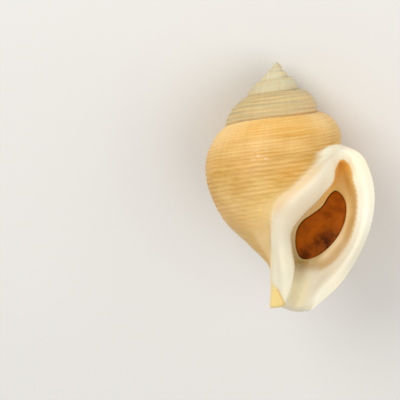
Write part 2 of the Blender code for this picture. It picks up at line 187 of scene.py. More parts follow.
# More marks of those two rings, as station, x, y, depth: the rounded trough of the canal and the slit's sides.
CREST_BETWEEN = (
    (8.35, 9.8, -9.2, 87.3),
    (8.7, 8.1, -5.4, 87.7),
    (9.35, 4.9, -2.6, 87.5),
    (9.7, 3.6, -4.8, 87.2),
)
EDGE_BETWEEN = (
    (0.45, 25.4, -4.6, 35.9),
    (8.5, 11.0, -3.4, 79.2),
    (9.5, 7.0, -3.6, 80.3),
    (15.45, 20.6, -7.4, 42.4),
    (15.72, 21.3, -5.9, 38.4),
)
WALL_FOOT = (
    (22.0, 0.5, 37.4),
    (23.6, 0.5, 39.6),
    (25.0, 0.5, 43.6),
    (26.3, 0.5, 49.7),
    (26.0, 0.5, 56.5),
    (23.8, 0.5, 63.0),
    (19.7, 0.5, 68.2),
    (15.3, 0.5, 71.5),
    (11.9, 0.8, 72.6),
    (8.8, 2.2, 72.4),
    (6.6, 0.8, 70.8),
    (5.6, 0.5, 66.6),
    (5.7, 0.5, 62.2),
    (7.7, 0.5, 57.6),
    (11.8, 0.5, 53.4),
    (17.4, 0.5, 47.4),
)
# The throat, where a narrow ledge runs from the wall's foot to the lid: the place on the lid's outline that each
# station meets, the room left round the lid, and its y.
THROAT_AT = (-0.3, 0.3, 1.0, 1.8, 2.8, 3.8, 5.0, 6.2, 7.4, 8.1, 9.1, 10.3, 11.5, 12.7, 13.8, 15.2)
THROAT_ROOM = 0.28
THROAT_Y = 0.75

# The hollow behind the lid, as distance from the axis and depth, on two half-planes through the axis.
HOLLOW_TURNS = (-0.12, -0.44)
HOLLOW = (
    (
        (20.4, 33.4),
        (22.0, 35.0),
        (23.8, 38.9),
        (24.7, 44.6),
        (23.6, 51.1),
        (20.9, 57.2),
        (17.0, 62.3),
        (13.2, 65.9),
        (10.1, 67.3),
        (7.6, 67.0),
        (5.8, 64.8),
        (4.9, 60.8),
        (5.2, 56.2),
        (7.9, 52.9),
        (12.6, 47.5),
        (17.8, 40.7),
    ),
    (
        (18.4, 27.0),
        (20.0, 28.4),
        (22.0, 32.3),
        (23.0, 38.4),
        (22.3, 45.0),
        (19.8, 51.0),
        (16.0, 56.2),
        (11.9, 60.1),
        (8.6, 61.6),
        (6.3, 61.2),
        (4.9, 59.0),
        (4.3, 55.1),
        (4.6, 50.8),
        (7.2, 44.6),
        (12.1, 38.2),
        (16.8, 31.5),
    ),
)
HOLLOW_END = (-0.50, 14.0, 46.0)

# The lid: its outline as x and depth, how deep it sits, its thickness, its dish and its rounded rim.
LID_OUTLINE = (
    (21.4, 46.4),
    (23.9, 48.1),
    (25.2, 51.7),
    (24.8, 56.5),
    (23.1, 60.9),
    (20.9, 64.3),
    (17.7, 67.6),
    (14.4, 69.8),
    (11.0, 70.9),
    (8.8, 70.3),
    (7.5, 67.9),
    (7.0, 64.3),
    (7.6, 60.3),
    (9.8, 57.0),
    (13.2, 54.6),
    (16.8, 51.8),
    (19.0, 48.4),
)
LID_Y = 0.4
LID_THICKNESS = 1.0
LID_DISH = 0.8
LID_ROUNDING = 0.3
LID_RIM = 0.88
# Places of painted shade on the lid, toward its lower end, as x, depth, reach and strength.
LID_PAINTED_SHADE = ((16.8, 65.6, 6.5, 1.0), (20.5, 61.5, 5.0, 0.7), (10.2, 69.8, 4.5, 0.8), (12.6, 66.0, 4.0, 0.5))
LID_FRAME_POINTS = 34
LID_POINTS = 204
LID_RINGS = 30
LID_BACK_RINGS = 8

# How finely the shell is divided: columns in a turn, rows in a cord, and rings of the mouth.
COLUMNS = 128
CORD_ROWS = 8
EARLY_CORD_ROWS = 4
EARLY_UNTIL = -3.0
PLAIN_UNTIL = -2.0
CANAL_ROWS = 24
MOUTH_STEPS = (12, 12, 6, 3, 5, 5)
FINE_RINGS = 30
HOLLOW_POINTS = 192
PROFILE_TURNS = 257

# How the shell lies: rolled about its length and tipped toward its spire.
ROLL = math.radians(2.4)
TIP = math.radians(-25.7)

# The facts that each vertex keeps for the cords and the colours.
FACTS = (
    "cord_at",
    "cord_second",
    "cord_size",
    "cord_sunk",
    "relief",
    "glaze",
    "inner",
    "slit",
    "yellow",
    "crease",
    "smooth",
)
CORNER_FACTS = ("place", "grown")
LIP_LENGTH = 273.0
WHORL_HEIGHT = 20.0
WORN_SPOT = (-0.0099, 0.0213, 0.0448)


def eased(x, low, high):
    """0 below low, 1 above high, smooth between."""
    share = np.clip((np.asarray(x, float) - low) / (high - low), 0.0, 1.0)
    return share * share * (3.0 - 2.0 * share)


def bump_at(x, middle, reach):
    """1 at the middle, falling smoothly to 0 at that reach on both sides."""
    return 1.0 - eased(np.abs(np.asarray(x, float) - middle), 0.0, reach)


def through(x, places, values, first_slope=None, closed=False):
    """A smooth curve through values at places, read at each x."""
    places = np.asarray(places, float)
    values = np.asarray(values, float)
    if closed:
        period = places[-1] - places[0]
        places = np.concatenate([[places[-2] - period], places, [places[1] + period]])
        values = np.concatenate([values[-2:-1], values, values[1:2]])
    step = np.diff(places)[:, None]
    rise = np.diff(values, axis=0) / step
    inner = (rise[:-1] * step[1:] + rise[1:] * step[:-1]) / (step[:-1] + step[1:])
    slope = np.concatenate([rise[:1], inner, rise[-1:]])
    if first_slope is not None:
        slope[0] = first_slope
    x = np.clip(np.asarray(x, float), places[0], places[-1])
    k = np.clip(np.searchsorted(places, x, side="right") - 1, 0, len(step) - 1)
    width = step[k]
    t = (x - places[k])[:, None] / width
    return (
        values[k] * (1 + 2 * t) * (1 - t) ** 2
        + slope[k] * width * t * (1 - t) ** 2
        + values[k + 1] * t * t * (3 - 2 * t)
        - slope[k + 1] * width * t * t * (1 - t)
    )


def suture(turn):
    """Distance from the axis and depth of the seam at a turn."""
    table = np.array(SUTURE)
    if turn < table[0, 0]:
        return table[0, 1:] * math.exp(TURN_GROWTH * (turn - table[0, 0]))
    return through([turn], table[:, 0], table[:, 1:])[0]


def turn_angle(turn):
    """The angle round the axis at a turn."""
    return LIP_ANGLE - 2.0 * math.pi * turn


def band_curve(turn, shares):
    """The whorl from its seam, share 0, to the seam below or the widest line, share 1."""
    top = suture(turn)
    power = 2.0 / (WHORL_FULLNESS + FULLER_AT_LIP * math.cos(turn_angle(turn)))
    angle = np.asarray(shares)[:, None] * math.pi / 2
    across = np.sin(angle) ** power + WHORL_BULGE * np.sin(angle) ** 4 * np.cos(angle)
    down = 1.0 - np.cos(angle) ** power
    return top + (suture(turn + 1.0) - top) * np.concatenate([across, down], axis=1)


def base_curve(turn, shares):
    """The body whorl from its widest line, share 0, to the canal's tip, share 1."""
    table = np.array(BASE)
    marks = through([turn], table[:, 0], table[:, 1:])[0].reshape(-1, 2)
    knots = np.concatenate([suture(turn + 1.0)[None], marks])
    straight_down = (0.0, (knots[1, 1] - knots[0, 1]) / BASE_MARKS[1])
    return through(shares, BASE_MARKS, knots, first_slope=straight_down)


def even(curve, turn, shares):
    """Points of a curve at even shares of its length."""
    fine = np.linspace(0.0, 1.0, 200)
    points = curve(turn, fine)
    length = np.concatenate([[0.0], np.cumsum(np.linalg.norm(np.diff(points, axis=0), axis=1))])
    return curve(turn, np.interp(np.asarray(shares) * length[-1], length, fine))


def profile(turn, rows):
    """The outer wall on one half-plane, as distance and depth. Rows 0 to 1 are the band, 1 to 3 the base."""
    rows = np.asarray(rows, float)
    band = rows <= 1.0
    points = np.empty((len(rows), 2))
    points[band] = even(band_curve, turn, rows[band])
    if not band.all():
        points[~band] = even(base_curve, turn, (rows[~band] - 1.0) / 2.0)
    return points


def swung(points, turns):
    """Points of half-planes, as distance and depth, swung to their turns: x, y, depth."""
    points = np.asarray(points, float)
    angle = turn_angle(np.asarray(turns, float))
    return np.stack([points[..., 0] * np.cos(angle), points[..., 0] * np.sin(angle), points[..., 1]], axis=-1)


def shield_edge(row):
    """The turn where the glazed shield's left edge crosses a row."""
    return through(np.atleast_1d(row), SHIELD_ROWS, np.array(SHIELD_TURNS)[:, None])[:, 0]


def lip_station(row):
    """The station of the lip at which a row of the outer wall ends."""
    return through(np.atleast_1d(row), *zip(*LIP_STATIONS))[:, 0]


def shield_station(row):
    """The station of the mouth's rings to which a row of the shield's left edge leads."""
    return through(np.atleast_1d(row), *zip(*SHIELD_STATIONS))[:, 0]


def on_ring(ring, stations, between=()):
    """Points of a closed ring of sixteen stations, with more marks between them where they are given."""
    marks = [(station, *point) for station, point in enumerate(ring + ring[:1])]
    marks = np.array(sorted(marks + list(between)))
    return through(stations, marks[:, 0], marks[:, 1:], closed=True)


def cord_facts(turns, rows):
    """What the cords need at points of the outer wall: which cord, the second set's share, and their size."""
    turns, rows = np.broadcast_arrays(np.asarray(turns, float), np.asarray(rows, float))
    at = np.where(rows < 1.0, rows * BAND_CORDS, (rows - 1.0) * BASE_CORDS)
    second = np.where(rows > 1.0, 1.0, eased(turns, *CORD_DOUBLING))
    size = np.minimum(1.0, EARLY_CORD_SHARE * np.exp(TURN_GROWTH * (turns + 1.0)))
    size = size * eased(rows, *CORD_RISE) * (1.0 - eased(rows, *CORD_FADE)) * eased(turns, *SMOOTH_APEX)
    size = size * np.where(turns < -1.0, 1.0 - eased(rows, *CORD_END), 1.0)
    shielded = eased(turns - shield_edge(np.maximum(rows, 1.0)), *SHIELD_FADE)
    shown = np.maximum(shielded, ribs_under_glaze(rows))
    size = size * np.where((rows > 0.97) & (turns > -1.0), shown, 1.0)
    sunk = np.clip((turns - FLARE_START) / -FLARE_START, 0.0, 1.0) ** FLARE_POWER
    strength = cord_strength(2.0 * np.floor(at / 2.0) + 1.0, turns)
    strength = strength + (cord_strength(np.round(at), turns) - strength) * second
    size = size * (strength + (LIP_SCALLOP - strength) * sunk)
    return {"cord_at": at, "cord_second": second, "cord_size": size, "cord_sunk": sunk}


def cord_strength(number, turns):
    """How strongly a cord stands up along its way, so that no two are alike."""
    waves = np.sin(2.4 * number + 7.0 * turns) + np.sin(5.1 * number - 17.0 * turns) + np.sin(3.3 * number)
    return 1.0 - CORD_UNEVENNESS * (0.5 + waves / 6.0)


def ribs_under_glaze(rows):
    """How much the cords go on under the shield's left edge: fully high up, not at all low down."""
    return 1.0 - eased(rows, 1.30, 1.62)


class Line:
    """A row of vertices: their numbers, their places along the row, and where the row itself lies."""

    def __init__(self, vertices, places, where):
        self.vertices = list(vertices)
        self.places = list(places)
        self.where = where

    def closed(self):
        return Line(self.vertices + self.vertices[:1], self.places + [self.places[0] + 16.0], self.where)


class Skin:
    """The vertices and faces of one closed surface, with the facts that its materials read."""

    def __init__(self):
        self.points = np.empty((0, 3))
        self.facts = {name: np.empty(0) for name in FACTS}
        self.faces = []
        self.corners = []

    def add(self, points, facts=None):
        points = np.atleast_2d(points)
        first = len(self.points)
        self.points = np.concatenate([self.points, points])
        for name in FACTS:
            values = np.broadcast_to(np.asarray((facts or {}).get(name, 0.0), float), len(points))
            self.facts[name] = np.concatenate([self.facts[name], values])
        return list(range(first, len(self.points)))

    def zip(self, first, second, zone):
        """Triangles between two lines of vertices."""
        i = j = 0
        last_i, last_j = len(first.vertices) - 1, len(second.vertices) - 1
        while i < last_i or j < last_j:
            step_first = j == last_j
            if not step_first and i < last_i:
                step_first = first.places[i + 1] + first.places[i] <= second.places[j + 1] + second.places[j]
            if step_first:
                ends = ((first, i), (first, i + 1), (second, j))
                i += 1
            else:
                ends = ((first, i), (second, j + 1), (second, j))
                j += 1
            corners = tuple(line.vertices[k] for line, k in ends)
            if len(set(corners)) == 3:
                self.faces.append(corners)
                self.corners.extend((line.where, line.places[k], zone) for line, k in ends)

    def fan(self, line, centre, zone):
        """Triangles from a closed line to one vertex."""
        for k in range(len(line.vertices) - 1):
            if line.vertices[k] != line.vertices[k + 1]:
                self.faces.append((line.vertices[k], line.vertices[k + 1], centre))
                ends = ((line.where, line.places[k]), (line.where, line.places[k + 1]), (line.where, line.places[k]))
                self.corners.extend((where, place, zone) for where, place in ends)


def rows_of(turn):
    """The rows of a column of the spire."""
    if turn < EARLY_UNTIL:
        return np.linspace(0.0, 1.0, SPIRE_CORDS * EARLY_CORD_ROWS + 1)
    if turn < PLAIN_UNTIL:
        return np.linspace(0.0, 1.0, SPIRE_CORDS * CORD_ROWS + 1)
    return np.linspace(0.0, 1.0, BAND_CORDS * CORD_ROWS + 1)


def add_spire(skin):
    """The whorls above the body whorl. Returns their columns by number, counted back from turn 0."""
    columns = {}
    first = round(FIRST_TURN * COLUMNS)
    for number in range(first, -COLUMNS + 1):
        turn = number / COLUMNS
        rows = rows_of(turn)
        points = swung(profile(turn, rows), turn)
        facts = cord_facts(turn, rows)
        above = columns.get(number - COLUMNS)
        if above is None:
            vertices = skin.add(points, facts)
        else:
            rest = {name: values[1:] for name, values in facts.items()}
            vertices = above.vertices[-1:] + skin.add(points[1:], rest)
        columns[number] = Line(vertices, rows, turn)
    for number in range(first, -COLUMNS):
        skin.zip(columns[number], columns[number + 1], 0.0)
    rim = [columns[number].vertices[0] for number in range(first, first + COLUMNS)]
    rim += columns[first].vertices[:0:-1]
    edge = skin.points[rim]
    places = np.arange(len(rim)) * 16.0 / len(rim)
    line = Line(rim, places, FIRST_TURN).closed()
    for spread, sunk in APEX_DOME:
        inner = edge * spread
        inner[:, 2] = APEX_DEPTH + (edge[:, 2] - APEX_DEPTH) * sunk
        ring = Line(skin.add(inner), places, FIRST_TURN).closed()
        skin.zip(line, ring, 2.0)
        line = ring
    skin.fan(line, skin.add((0.0, 0.0, APEX_DEPTH))[0], 2.0)
    return columns


def body_grid(rows, start):
    """The body whorl's outer wall with the flared lip: the turn and the point of each column and row."""
    steps = np.linspace(-1.0, 0.0, PROFILE_TURNS)
    table = np.stack([profile(turn, rows) for turn in steps])
    share = np.linspace(0.0, 1.0, COLUMNS + 1)[:, None]
    turns = start[None] * (1.0 - share)
    flat = np.empty(turns.shape + (2,))
    for row in range(len(rows)):
        for k in range(2):
            flat[:, row, k] = np.interp(turns[:, row], steps, table[:, row, k])
    points = swung(flat, turns)
    flare = np.clip((turns - FLARE_START) / -FLARE_START, 0.0, 1.0) ** FLARE_POWER
    edge = through(lip_station(rows), np.arange(9), LIP_EDGE)
    return turns, points + (edge - points[-1])[None] * flare[..., None]


def add_body(skin, spire):
    """The body whorl's outer wall. Returns its columns from the shield's edge to the lip."""
    band = np.linspace(0.0, 1.0, BAND_CORDS * CORD_ROWS + 1)
    base = np.linspace(1.0, 2.0, BASE_CORDS * CORD_ROWS + 1)[1:]
    canal = np.linspace(2.0, 3.0, CANAL_ROWS + 1)[1:]
    rows = np.concatenate([band, base, canal])
    start = np.where(rows > 1.0, shield_edge(np.maximum(rows, 1.0)), -1.0)
    turns, grid = body_grid(rows, start)
    first_column = spire[-COLUMNS].vertices
    columns = []
    for number in range(COLUMNS + 1):
        facts = cord_facts(turns[number], rows)
        facts["glaze"] = glazed(grid[number]) * (turns[number] < -0.5) * (rows > 0.5)
        facts["cord_size"] = facts["cord_size"] * (1.0 - CORDS_HIDDEN * facts["glaze"])
        facts["yellow"] = eased(rows, 2.3, 2.8) * (1.0 - eased(turns[number], -0.6, -0.4))
        above = eased(rows, *SEAM_ROWS) * (1.0 - eased(turns[number], *SEAM_TURNS))
        beside = 1.0 - eased(turns[number] - shield_edge(np.maximum(rows, 1.0)), 0.0, SEAM_REACH)
        facts["smooth"] = np.where(rows > 1.0, beside * (1.0 - eased(rows, 1.3, 1.6)), above)
        shared = [] if number == 0 else [spire[number - 2 * COLUMNS].vertices[-1]]
        if number == 0:
            shared = first_column
        elif number == COLUMNS:
            shared = first_column[-1:]
        rest = {name: np.broadcast_to(values, len(rows))[len(shared) :] for name, values in facts.items()}
        vertices = shared + skin.add(grid[number][len(shared) :], rest)
        columns.append(Line(vertices, rows, number / COLUMNS - 1.0))
    for left, right in zip(columns, columns[1:]):
        skin.zip(left, right, 0.0)
    return columns, rows


def mouth_rim(columns, rows):
    """The body whorl's open edge as one closed line of vertices and their stations."""
    widest = int(np.argmin(np.abs(rows - 1.0)))
    lip = columns[-1].vertices
    tip = [column.vertices[-1] for column in columns[-2:0:-1]]
    shield = columns[0].vertices[:widest:-1]
    stations = np.concatenate(
        [
            lip_station(rows),
            through(np.linspace(0.0, 1.0, len(tip) + 2)[1:-1], *zip(*TIP_STATIONS))[:, 0],
            shield_station(rows[:widest:-1]),
        ]
    )
    return lip + tip + shield, stations


def throat(stations):
    """Points of the throat, a little outside the lid's outline."""
    loop = THROAT_AT + (THROAT_AT[0] + len(LID_OUTLINE),)
    at = np.interp(stations, np.arange(17), loop) % len(LID_OUTLINE)
    corners = np.arange(len(LID_OUTLINE) + 1)
    here, before, after = (
        through((at + step) % len(LID_OUTLINE), corners, LID_OUTLINE + LID_OUTLINE[:1], closed=True)
        for step in (0.0, -0.05, 0.05)
    )
    along = (after - before) / np.linalg.norm(after - before, axis=1)[:, None]
    out = here + THROAT_ROOM * np.stack([along[:, 1], -along[:, 0]], axis=1)
    return np.stack([out[:, 0], np.full(len(out), THROAT_Y), out[:, 1]], axis=1)


def mouth_tracks(start, stations):
    """The rings between the rim and the end of the hollow: one array of points for each step."""
    crest = on_ring(FACE_CREST, stations, CREST_BETWEEN)
    edge = on_ring(MOUTH_EDGE, stations, EDGE_BETWEEN)
    rings = [start, crest, edge, on_ring(WALL_FOOT, stations), throat(stations)]
    for turn, ring in zip(HOLLOW_TURNS, HOLLOW):
        rings.append(swung(on_ring(ring, stations), turn))
    tracks = []
    for track in np.stack(rings).transpose(1, 0, 2):
        length = np.concatenate([[0.0], np.cumsum(np.linalg.norm(np.diff(track, axis=0), axis=1) + 1e-6)])
        places = [0.0]
        for begin, end, steps in zip(length, length[1:], MOUTH_STEPS):
            places.extend(begin + (end - begin) * np.arange(1, steps + 1) / steps)
        tracks.append(through(places, length, track))
    return np.stack(tracks).transpose(1, 0, 2)


def by_station(stations, table):
    """A value read from pairs of station and value, round the mouth."""
    at, values = zip(*table)
    return np.interp(stations, at, values)


# The glazed shield's left edge as depth and x, how softly the glaze begins there, and where the canal's
# yellow ridge meets the pillar's glaze: a crease between two points, as x and depth.
GLAZE_EDGE = (
    (26.0, 40.0),
    (28.4, 30.0),
    (29.0, 23.7),
    (30.2, 18.0),
    (32.7, 13.5),
    (37.7, 11.7),
    (44.5, 5.4),
    (48.2, 0.5),
    (50.8, -1.3),
    (54.4, -1.9),
    (92.0, -2.6),
)
GLAZE_SOFTNESS = ((28.0, 0.8), (31.0, 2.0), (34.0, 4.6), (44.0, 4.6), (49.0, 2.2), (54.0, 0.6), (92.0, 0.4))
CORDS_HIDDEN = 0.75
# Along this crease the surface is dented a little and coloured with a painted orange shadow.
CREASE_TOP = (-0.5, 80.4)
CREASE_END = (2.9, 87.2)

# The mouth's colours by station: where the tan of the inner wall starts, as a ring, and over how much. Just below the
# lid the tan makes a brown strip down the canal that is partly the wall's colour, partly painted shadow under the lid.
INNER_START = ((0, 1.93), (6.2, 1.97), (7.2, 2.1), (8.2, 2.2), (11.0, 2.3), (12.0, 2.15), (13.0, 2.0), (16, 1.93))
INNER_REACH = ((0, 0.10), (6.0, 0.12), (7.2, 0.3), (8.2, 0.5), (11.0, 0.4), (12.5, 0.2), (16, 0.10))
TROUGH_STATIONS = (6.2, 7.4, 11.2, 12.2)
TROUGH_FADE = (71.8, 76.8)
SEAM_ROWS = (0.84, 1.0)
SEAM_TURNS = (-0.95, -0.86)
SEAM_REACH = 0.06
SEAM_ROUNDS = 50
FREE_EDGE = ((0, 0.0), (9.6, 0.0), (10.6, 0.5), (12.6, 0.55), (13.3, 0.30), (14.0, 0.0), (16, 0.0))
TOOTH_HEIGHT = 0.16
TOOTH_STEP = 0.27


def glazed(points):
    """How much the glazed shield covers points of the front, by its left edge."""
    at, edge = zip(*GLAZE_EDGE)
    soft_at, soft = zip(*GLAZE_SOFTNESS)
    past = points[..., 0] - np.interp(points[..., 2], at, edge)
    reach = np.interp(points[..., 2], soft_at, soft)
    return eased(past / reach, -0.2, 1.0)


def mouth_facts(points, stations, ring, rim_facts):
    """What the cords and colours need on one ring of the mouth: ring 0 is the rim, 1 the crest, 2 the edge."""
    inner = by_station(stations, INNER_START)
    teeth = 0.5 + 0.5 * np.cos(2.0 * math.pi * stations / TOOTH_STEP)
    toothed = eased(stations, 0.9, 1.8) * (1.0 - eased(stations, 6.4, 7.4))
    scallop = 0.05 * (teeth - 0.5) * toothed
    corner = np.minimum(stations, 16.0 - stations)
    relief = TOOTH_HEIGHT * teeth * toothed * bump_at(ring, 1.86, 0.22)
    relief = relief + by_station(stations, FREE_EDGE) * eased(ring, 0.0, 0.09) * (1.0 - eased(ring, 0.12, 0.55))
    under = (1.0 - eased(ring, 0.0, 0.62)) * (stations > 12.0)
    at_lip = (1.0 - eased(ring, 0.0, 0.10)) * (stations <= 12.0)
    facts = dict(rim_facts)
    covered = glazed(points) * (stations > 12.0)
    facts["cord_size"] = rim_facts["cord_size"] * (under * (1.0 - CORDS_HIDDEN * covered) + at_lip)
    on_lip = 0.6 + 0.4 * eased(ring, 0.0, 0.1)
    shield = eased(stations, 9.6, 10.0)
    lip = 1.0 - eased(stations, 15.6, 16.0)
    facts["glaze"] = np.where(shield * lip > 0.0, on_lip + (glazed(points) - on_lip) * shield, on_lip)
    facts["inner"] = eased(ring + scallop, inner, inner + by_station(stations, INNER_REACH))
    # Down the canal the tan ends just below the lid, leaving a brown strip there that is partly painted shadow.
    trough = eased(stations, *TROUGH_STATIONS[:2]) * (1.0 - eased(stations, *TROUGH_STATIONS[2:]))
    facts["inner"] = facts["inner"] * (1.0 - trough * eased(points[:, 2], *TROUGH_FADE))
    # The slit's deeper orange is partly the wall's colour, partly painted shade in the recess at the back of the
    # mouth.
    facts["slit"] = (1.0 - eased(corner, 0.5, 1.5)) * eased(ring, 1.9, 2.1) * (1.0 - eased(ring, 2.9, 3.9))
    side, line = beside_crease(points)
    near = eased(stations, 9.5, 9.9) * (1.0 - eased(ring, 1.1, 1.4)) * (stations < 12.5)
    on_seam = eased(stations, 13.0, 14.2) * (1.0 - eased(stations, 15.7, 16.0))
    at_canal = bump_at(stations, 8.1, 0.8) * eased(ring, 0.3, 0.7) * (1.0 - eased(ring, 2.0, 2.6))
    facts["smooth"] = np.maximum(on_seam * (1.0 - eased(ring, 0.15, 0.75)), at_canal)
    facts["yellow"] = side * near
    # Along the crease: a painted orange shadow and a small dent.
    facts["crease"] = line * near
    facts["relief"] = relief * (1.0 - 0.7 * side * near) - 0.35 * line * near
    return facts


def beside_crease(points):
    """How far points lie on the yellow ridge's side of the crease, and how near they are to it."""
    start, end = np.array(CREASE_TOP), np.array(CREASE_END)
    along = (end - start) / np.linalg.norm(end - start)
    gap = points[:, (0, 2)] - start
    across = gap[:, 0] * along[1] - gap[:, 1] * along[0]
    length = gap @ along
    side = (1.0 - eased(across, -0.3, 0.3)) * eased(points[:, 2], 77.0, 81.5)
    line = (1.0 - eased(np.abs(across), 0.0, 0.55)) * eased(length, -0.5, 2.0)
    return side, line


def add_mouth(skin, rim, stations):
    """The lip's face, the canal, the pillar, the glazed shield and the hollow, from the rim inward."""
    rim_points = skin.points[rim]
    rim_facts = {name: skin.facts[name][rim] for name in FACTS}
    line = Line(rim, stations, 0.0).closed()
    deep_stations = np.linspace(0.0, 16.0, HOLLOW_POINTS + 1)[:-1]
    closed_rim = np.concatenate([rim_points, rim_points[:1]])
    closed_at = np.append(stations, 16.0)
    coarse_rim = np.stack([np.interp(deep_stations, closed_at, closed_rim[:, k]) for k in range(3)], axis=1)
    fine = mouth_tracks(rim_points, stations)
    coarse = mouth_tracks(coarse_rim, deep_stations)
    no_cords = {name: np.zeros(len(deep_stations)) for name in FACTS}
    numbers = [0.0]
    for segment, steps in enumerate(MOUTH_STEPS):
        numbers.extend(segment + np.arange(1, steps + 1) / steps)
    at_rim = mouth_facts(rim_points, stations, 0.0, rim_facts)
    for name in ("glaze", "yellow", "crease", "smooth"):
        skin.facts[name][rim] = at_rim[name]
    for number in range(1, len(fine)):
        if number <= FINE_RINGS:
            ring = skin.add(fine[number], mouth_facts(fine[number], stations, numbers[number], rim_facts))
            ring = Line(ring, stations, numbers[number]).closed()
        else:
            facts = mouth_facts(coarse[number], deep_stations, numbers[number], no_cords)
            ring = skin.add(coarse[number], facts)
            ring = Line(ring, deep_stations, numbers[number]).closed()
        skin.zip(line, ring, 1.0)
        line = ring
    end = skin.add(swung(HOLLOW_END[1:], HOLLOW_END[0]), {"glaze": 1.0, "inner": 1.0})[0]
    skin.fan(line, end, 1.0)


def softened(points, faces, weight, times):
    """The points moved toward the middle of their neighbours, as much as their weight says."""
    faces = np.asarray(faces)
    ends = np.concatenate([faces[:, (0, 1)], faces[:, (1, 2)], faces[:, (2, 0)]])
    first, second = ends.T
    degree = np.bincount(first, minlength=len(points))[:, None]
    for _ in range(times):
        total = np.stack([np.bincount(first, points[second, k], len(points)) for k in range(3)], axis=1)
        points = points + weight[:, None] * (total / degree - points)
    return points


def laid_down(points):
    """Points of the shell's own frame turned onto its back, in millimetres, with the mouth up."""
    turn = np.array(Matrix.Rotation(TIP, 3, "X") @ Matrix.Rotation(ROLL, 3, "Y"))
    upright = np.stack([points[:, 0], -points[:, 2], -points[:, 1]], axis=1)
    return upright @ turn.T


def lid_ring(outline, ring, side):
    """One ring of the lid's front, side 0, or back, side 1."""
    middle = outline.mean(axis=0)
    spread = middle + (outline - middle) * ring
    rounded = LID_ROUNDING * LID_THICKNESS * (1.0 - 2.0 * side) * eased(ring, LID_RIM, 1.0)
    y = LID_Y + LID_THICKNESS * side + rounded + LID_DISH * (1.0 - ring**2)
    return np.stack([spread[:, 0], np.full(len(outline), y), spread[:, 1]], axis=1)


def lid_outline(count):
    """The lid's outline at that many points."""
    at = np.arange(count) * len(LID_OUTLINE) / count
    return through(at, np.arange(len(LID_OUTLINE) + 1), LID_OUTLINE + LID_OUTLINE[:1], closed=True)


def frame_origin():
    """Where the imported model's origin lies in the laid shell's millimetres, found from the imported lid."""
    outline = lid_outline(LID_FRAME_POINTS)
    rims = np.concatenate([lid_ring(outline, 1.0, side) for side in (0, 1)])
    return laid_down(rims).min(axis=0) - np.array(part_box("operculum")[0]) / MM


def mesh_of(name, skin, origin):
    """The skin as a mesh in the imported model's place, with its facts as attributes and its faces out."""
    mesh = bpy.data.meshes.new(name)
    points = (laid_down(skin.points) - origin) * MM
    mesh.from_pydata(points.tolist(), [], skin.faces)
    for fact in FACTS:
        layer = mesh.attributes.new(fact, "FLOAT", "POINT")
        layer.data.foreach_set("value", skin.facts[fact].astype(np.float32))
    corners = np.array(skin.corners, float)
    size = np.where(corners[:, 2] == 0.0, np.exp(TURN_GROWTH * np.minimum(corners[:, 0], 0.0)), 1.0)
    along = np.where(corners[:, 2] == 0.0, LIP_LENGTH * size, 6.0 * corners[:, 0])
    across = np.where(corners[:, 2] == 0.0, WHORL_HEIGHT * corners[:, 1] * size, 8.0 * corners[:, 1])
    grown = np.stack([along, across, corners[:, 2]], axis=1)
    for fact, values in zip(CORNER_FACTS, (corners, grown)):
        layer = mesh.attributes.new(fact, "FLOAT_VECTOR", "CORNER")
        layer.data.foreach_set("vector", values.astype(np.float32).ravel())
    body = bmesh.new()
    body.from_mesh(mesh)
    bmesh.ops.recalc_face_normals(body, faces=body.faces)
    body.to_mesh(mesh)
    body.free()
    mesh.shade_smooth()
    return mesh


def node(tree, kind, inputs=None, **settings):
    """A new node with its settings, and values or links for its inputs."""
    made = tree.nodes.new(kind)
    for name, value in settings.items():
        setattr(made, name, value)
    for key, value in (inputs or {}).items():
        if isinstance(value, bpy.types.NodeSocket):
            tree.links.new(value, made.inputs[key])
        else:
            made.inputs[key].default_value = value
    return made


def maths(tree, operation, *values, clamp=False):
    """The result of one sum on values or sockets."""
    kind = "ShaderNodeMath"
    return node(tree, kind, dict(enumerate(values)), operation=operation, use_clamp=clamp).outputs[0]


def ranged(tree, value, low, high, to_low=0.0, to_high=1.0):
    """A value carried smoothly from one range to another, and held at its ends."""
    inputs = {"Value": value, "From Min": low, "From Max": high, "To Min": to_low, "To Max": to_high}
    return node(tree, "ShaderNodeMapRange", inputs, interpolation_type="SMOOTHSTEP").outputs["Result"]


def mixed(tree, share, first, second, blend="MIX"):
    """Two colours mixed by a share."""
    made = node(tree, "ShaderNodeMix", {0: share, 6: first, 7: second}, data_type="RGBA", blend_type=blend)
    return made.outputs[2]


def colour(values):
    """A colour as four values."""
    return (*values[:3], 1.0)


def stepped(tree, share, stops):
    """A colour read from stops of place and colour."""
    made = node(tree, "ShaderNodeValToRGB", {"Fac": share})
    ramp = made.color_ramp
    ramp.interpolation = "EASE"
    while len(ramp.elements) < len(stops):
        ramp.elements.new(0.5)
    for element, (place, shade) in zip(ramp.elements, stops):
        element.position = place
        element.color = colour(shade)
    return made.outputs["Color"]


def fact_value(tree, name):
    """A fact of the surface as a number."""
    return node(tree, "ShaderNodeAttribute", attribute_name=name, attribute_type="GEOMETRY").outputs["Fac"]


def fact_vector(tree, name):
    """A fact of the surface as a vector."""
    return node(tree, "ShaderNodeAttribute", attribute_name=name, attribute_type="GEOMETRY").outputs["Vector"]


def scaled(tree, vector, scale):
    """A vector scaled along its three axes."""
    return node(tree, "ShaderNodeVectorMath", {0: vector, 1: scale}, operation="MULTIPLY").outputs[0]


def noise(tree, vector, scale=1.0, detail=3.0, roughness=0.5, seed=0.0):
    """Cloudy noise between 0 and 1."""
    inputs = {"Vector": vector, "W": seed, "Scale": scale, "Detail": detail, "Roughness": roughness}
    return node(tree, "ShaderNodeTexNoise", inputs, noise_dimensions="4D").outputs[0]


def new_material(name):
    """A material with its shader and its node tree."""
    made = bpy.data.materials.new(name)
    made.use_nodes = True
    return made, made.node_tree, made.node_tree.nodes["Principled BSDF"]


def named(tree, name):
    """A fact of the surface inside a geometry tree."""
    return node(tree, "GeometryNodeInputNamedAttribute", {"Name": name}, data_type="FLOAT").outputs["Attribute"]


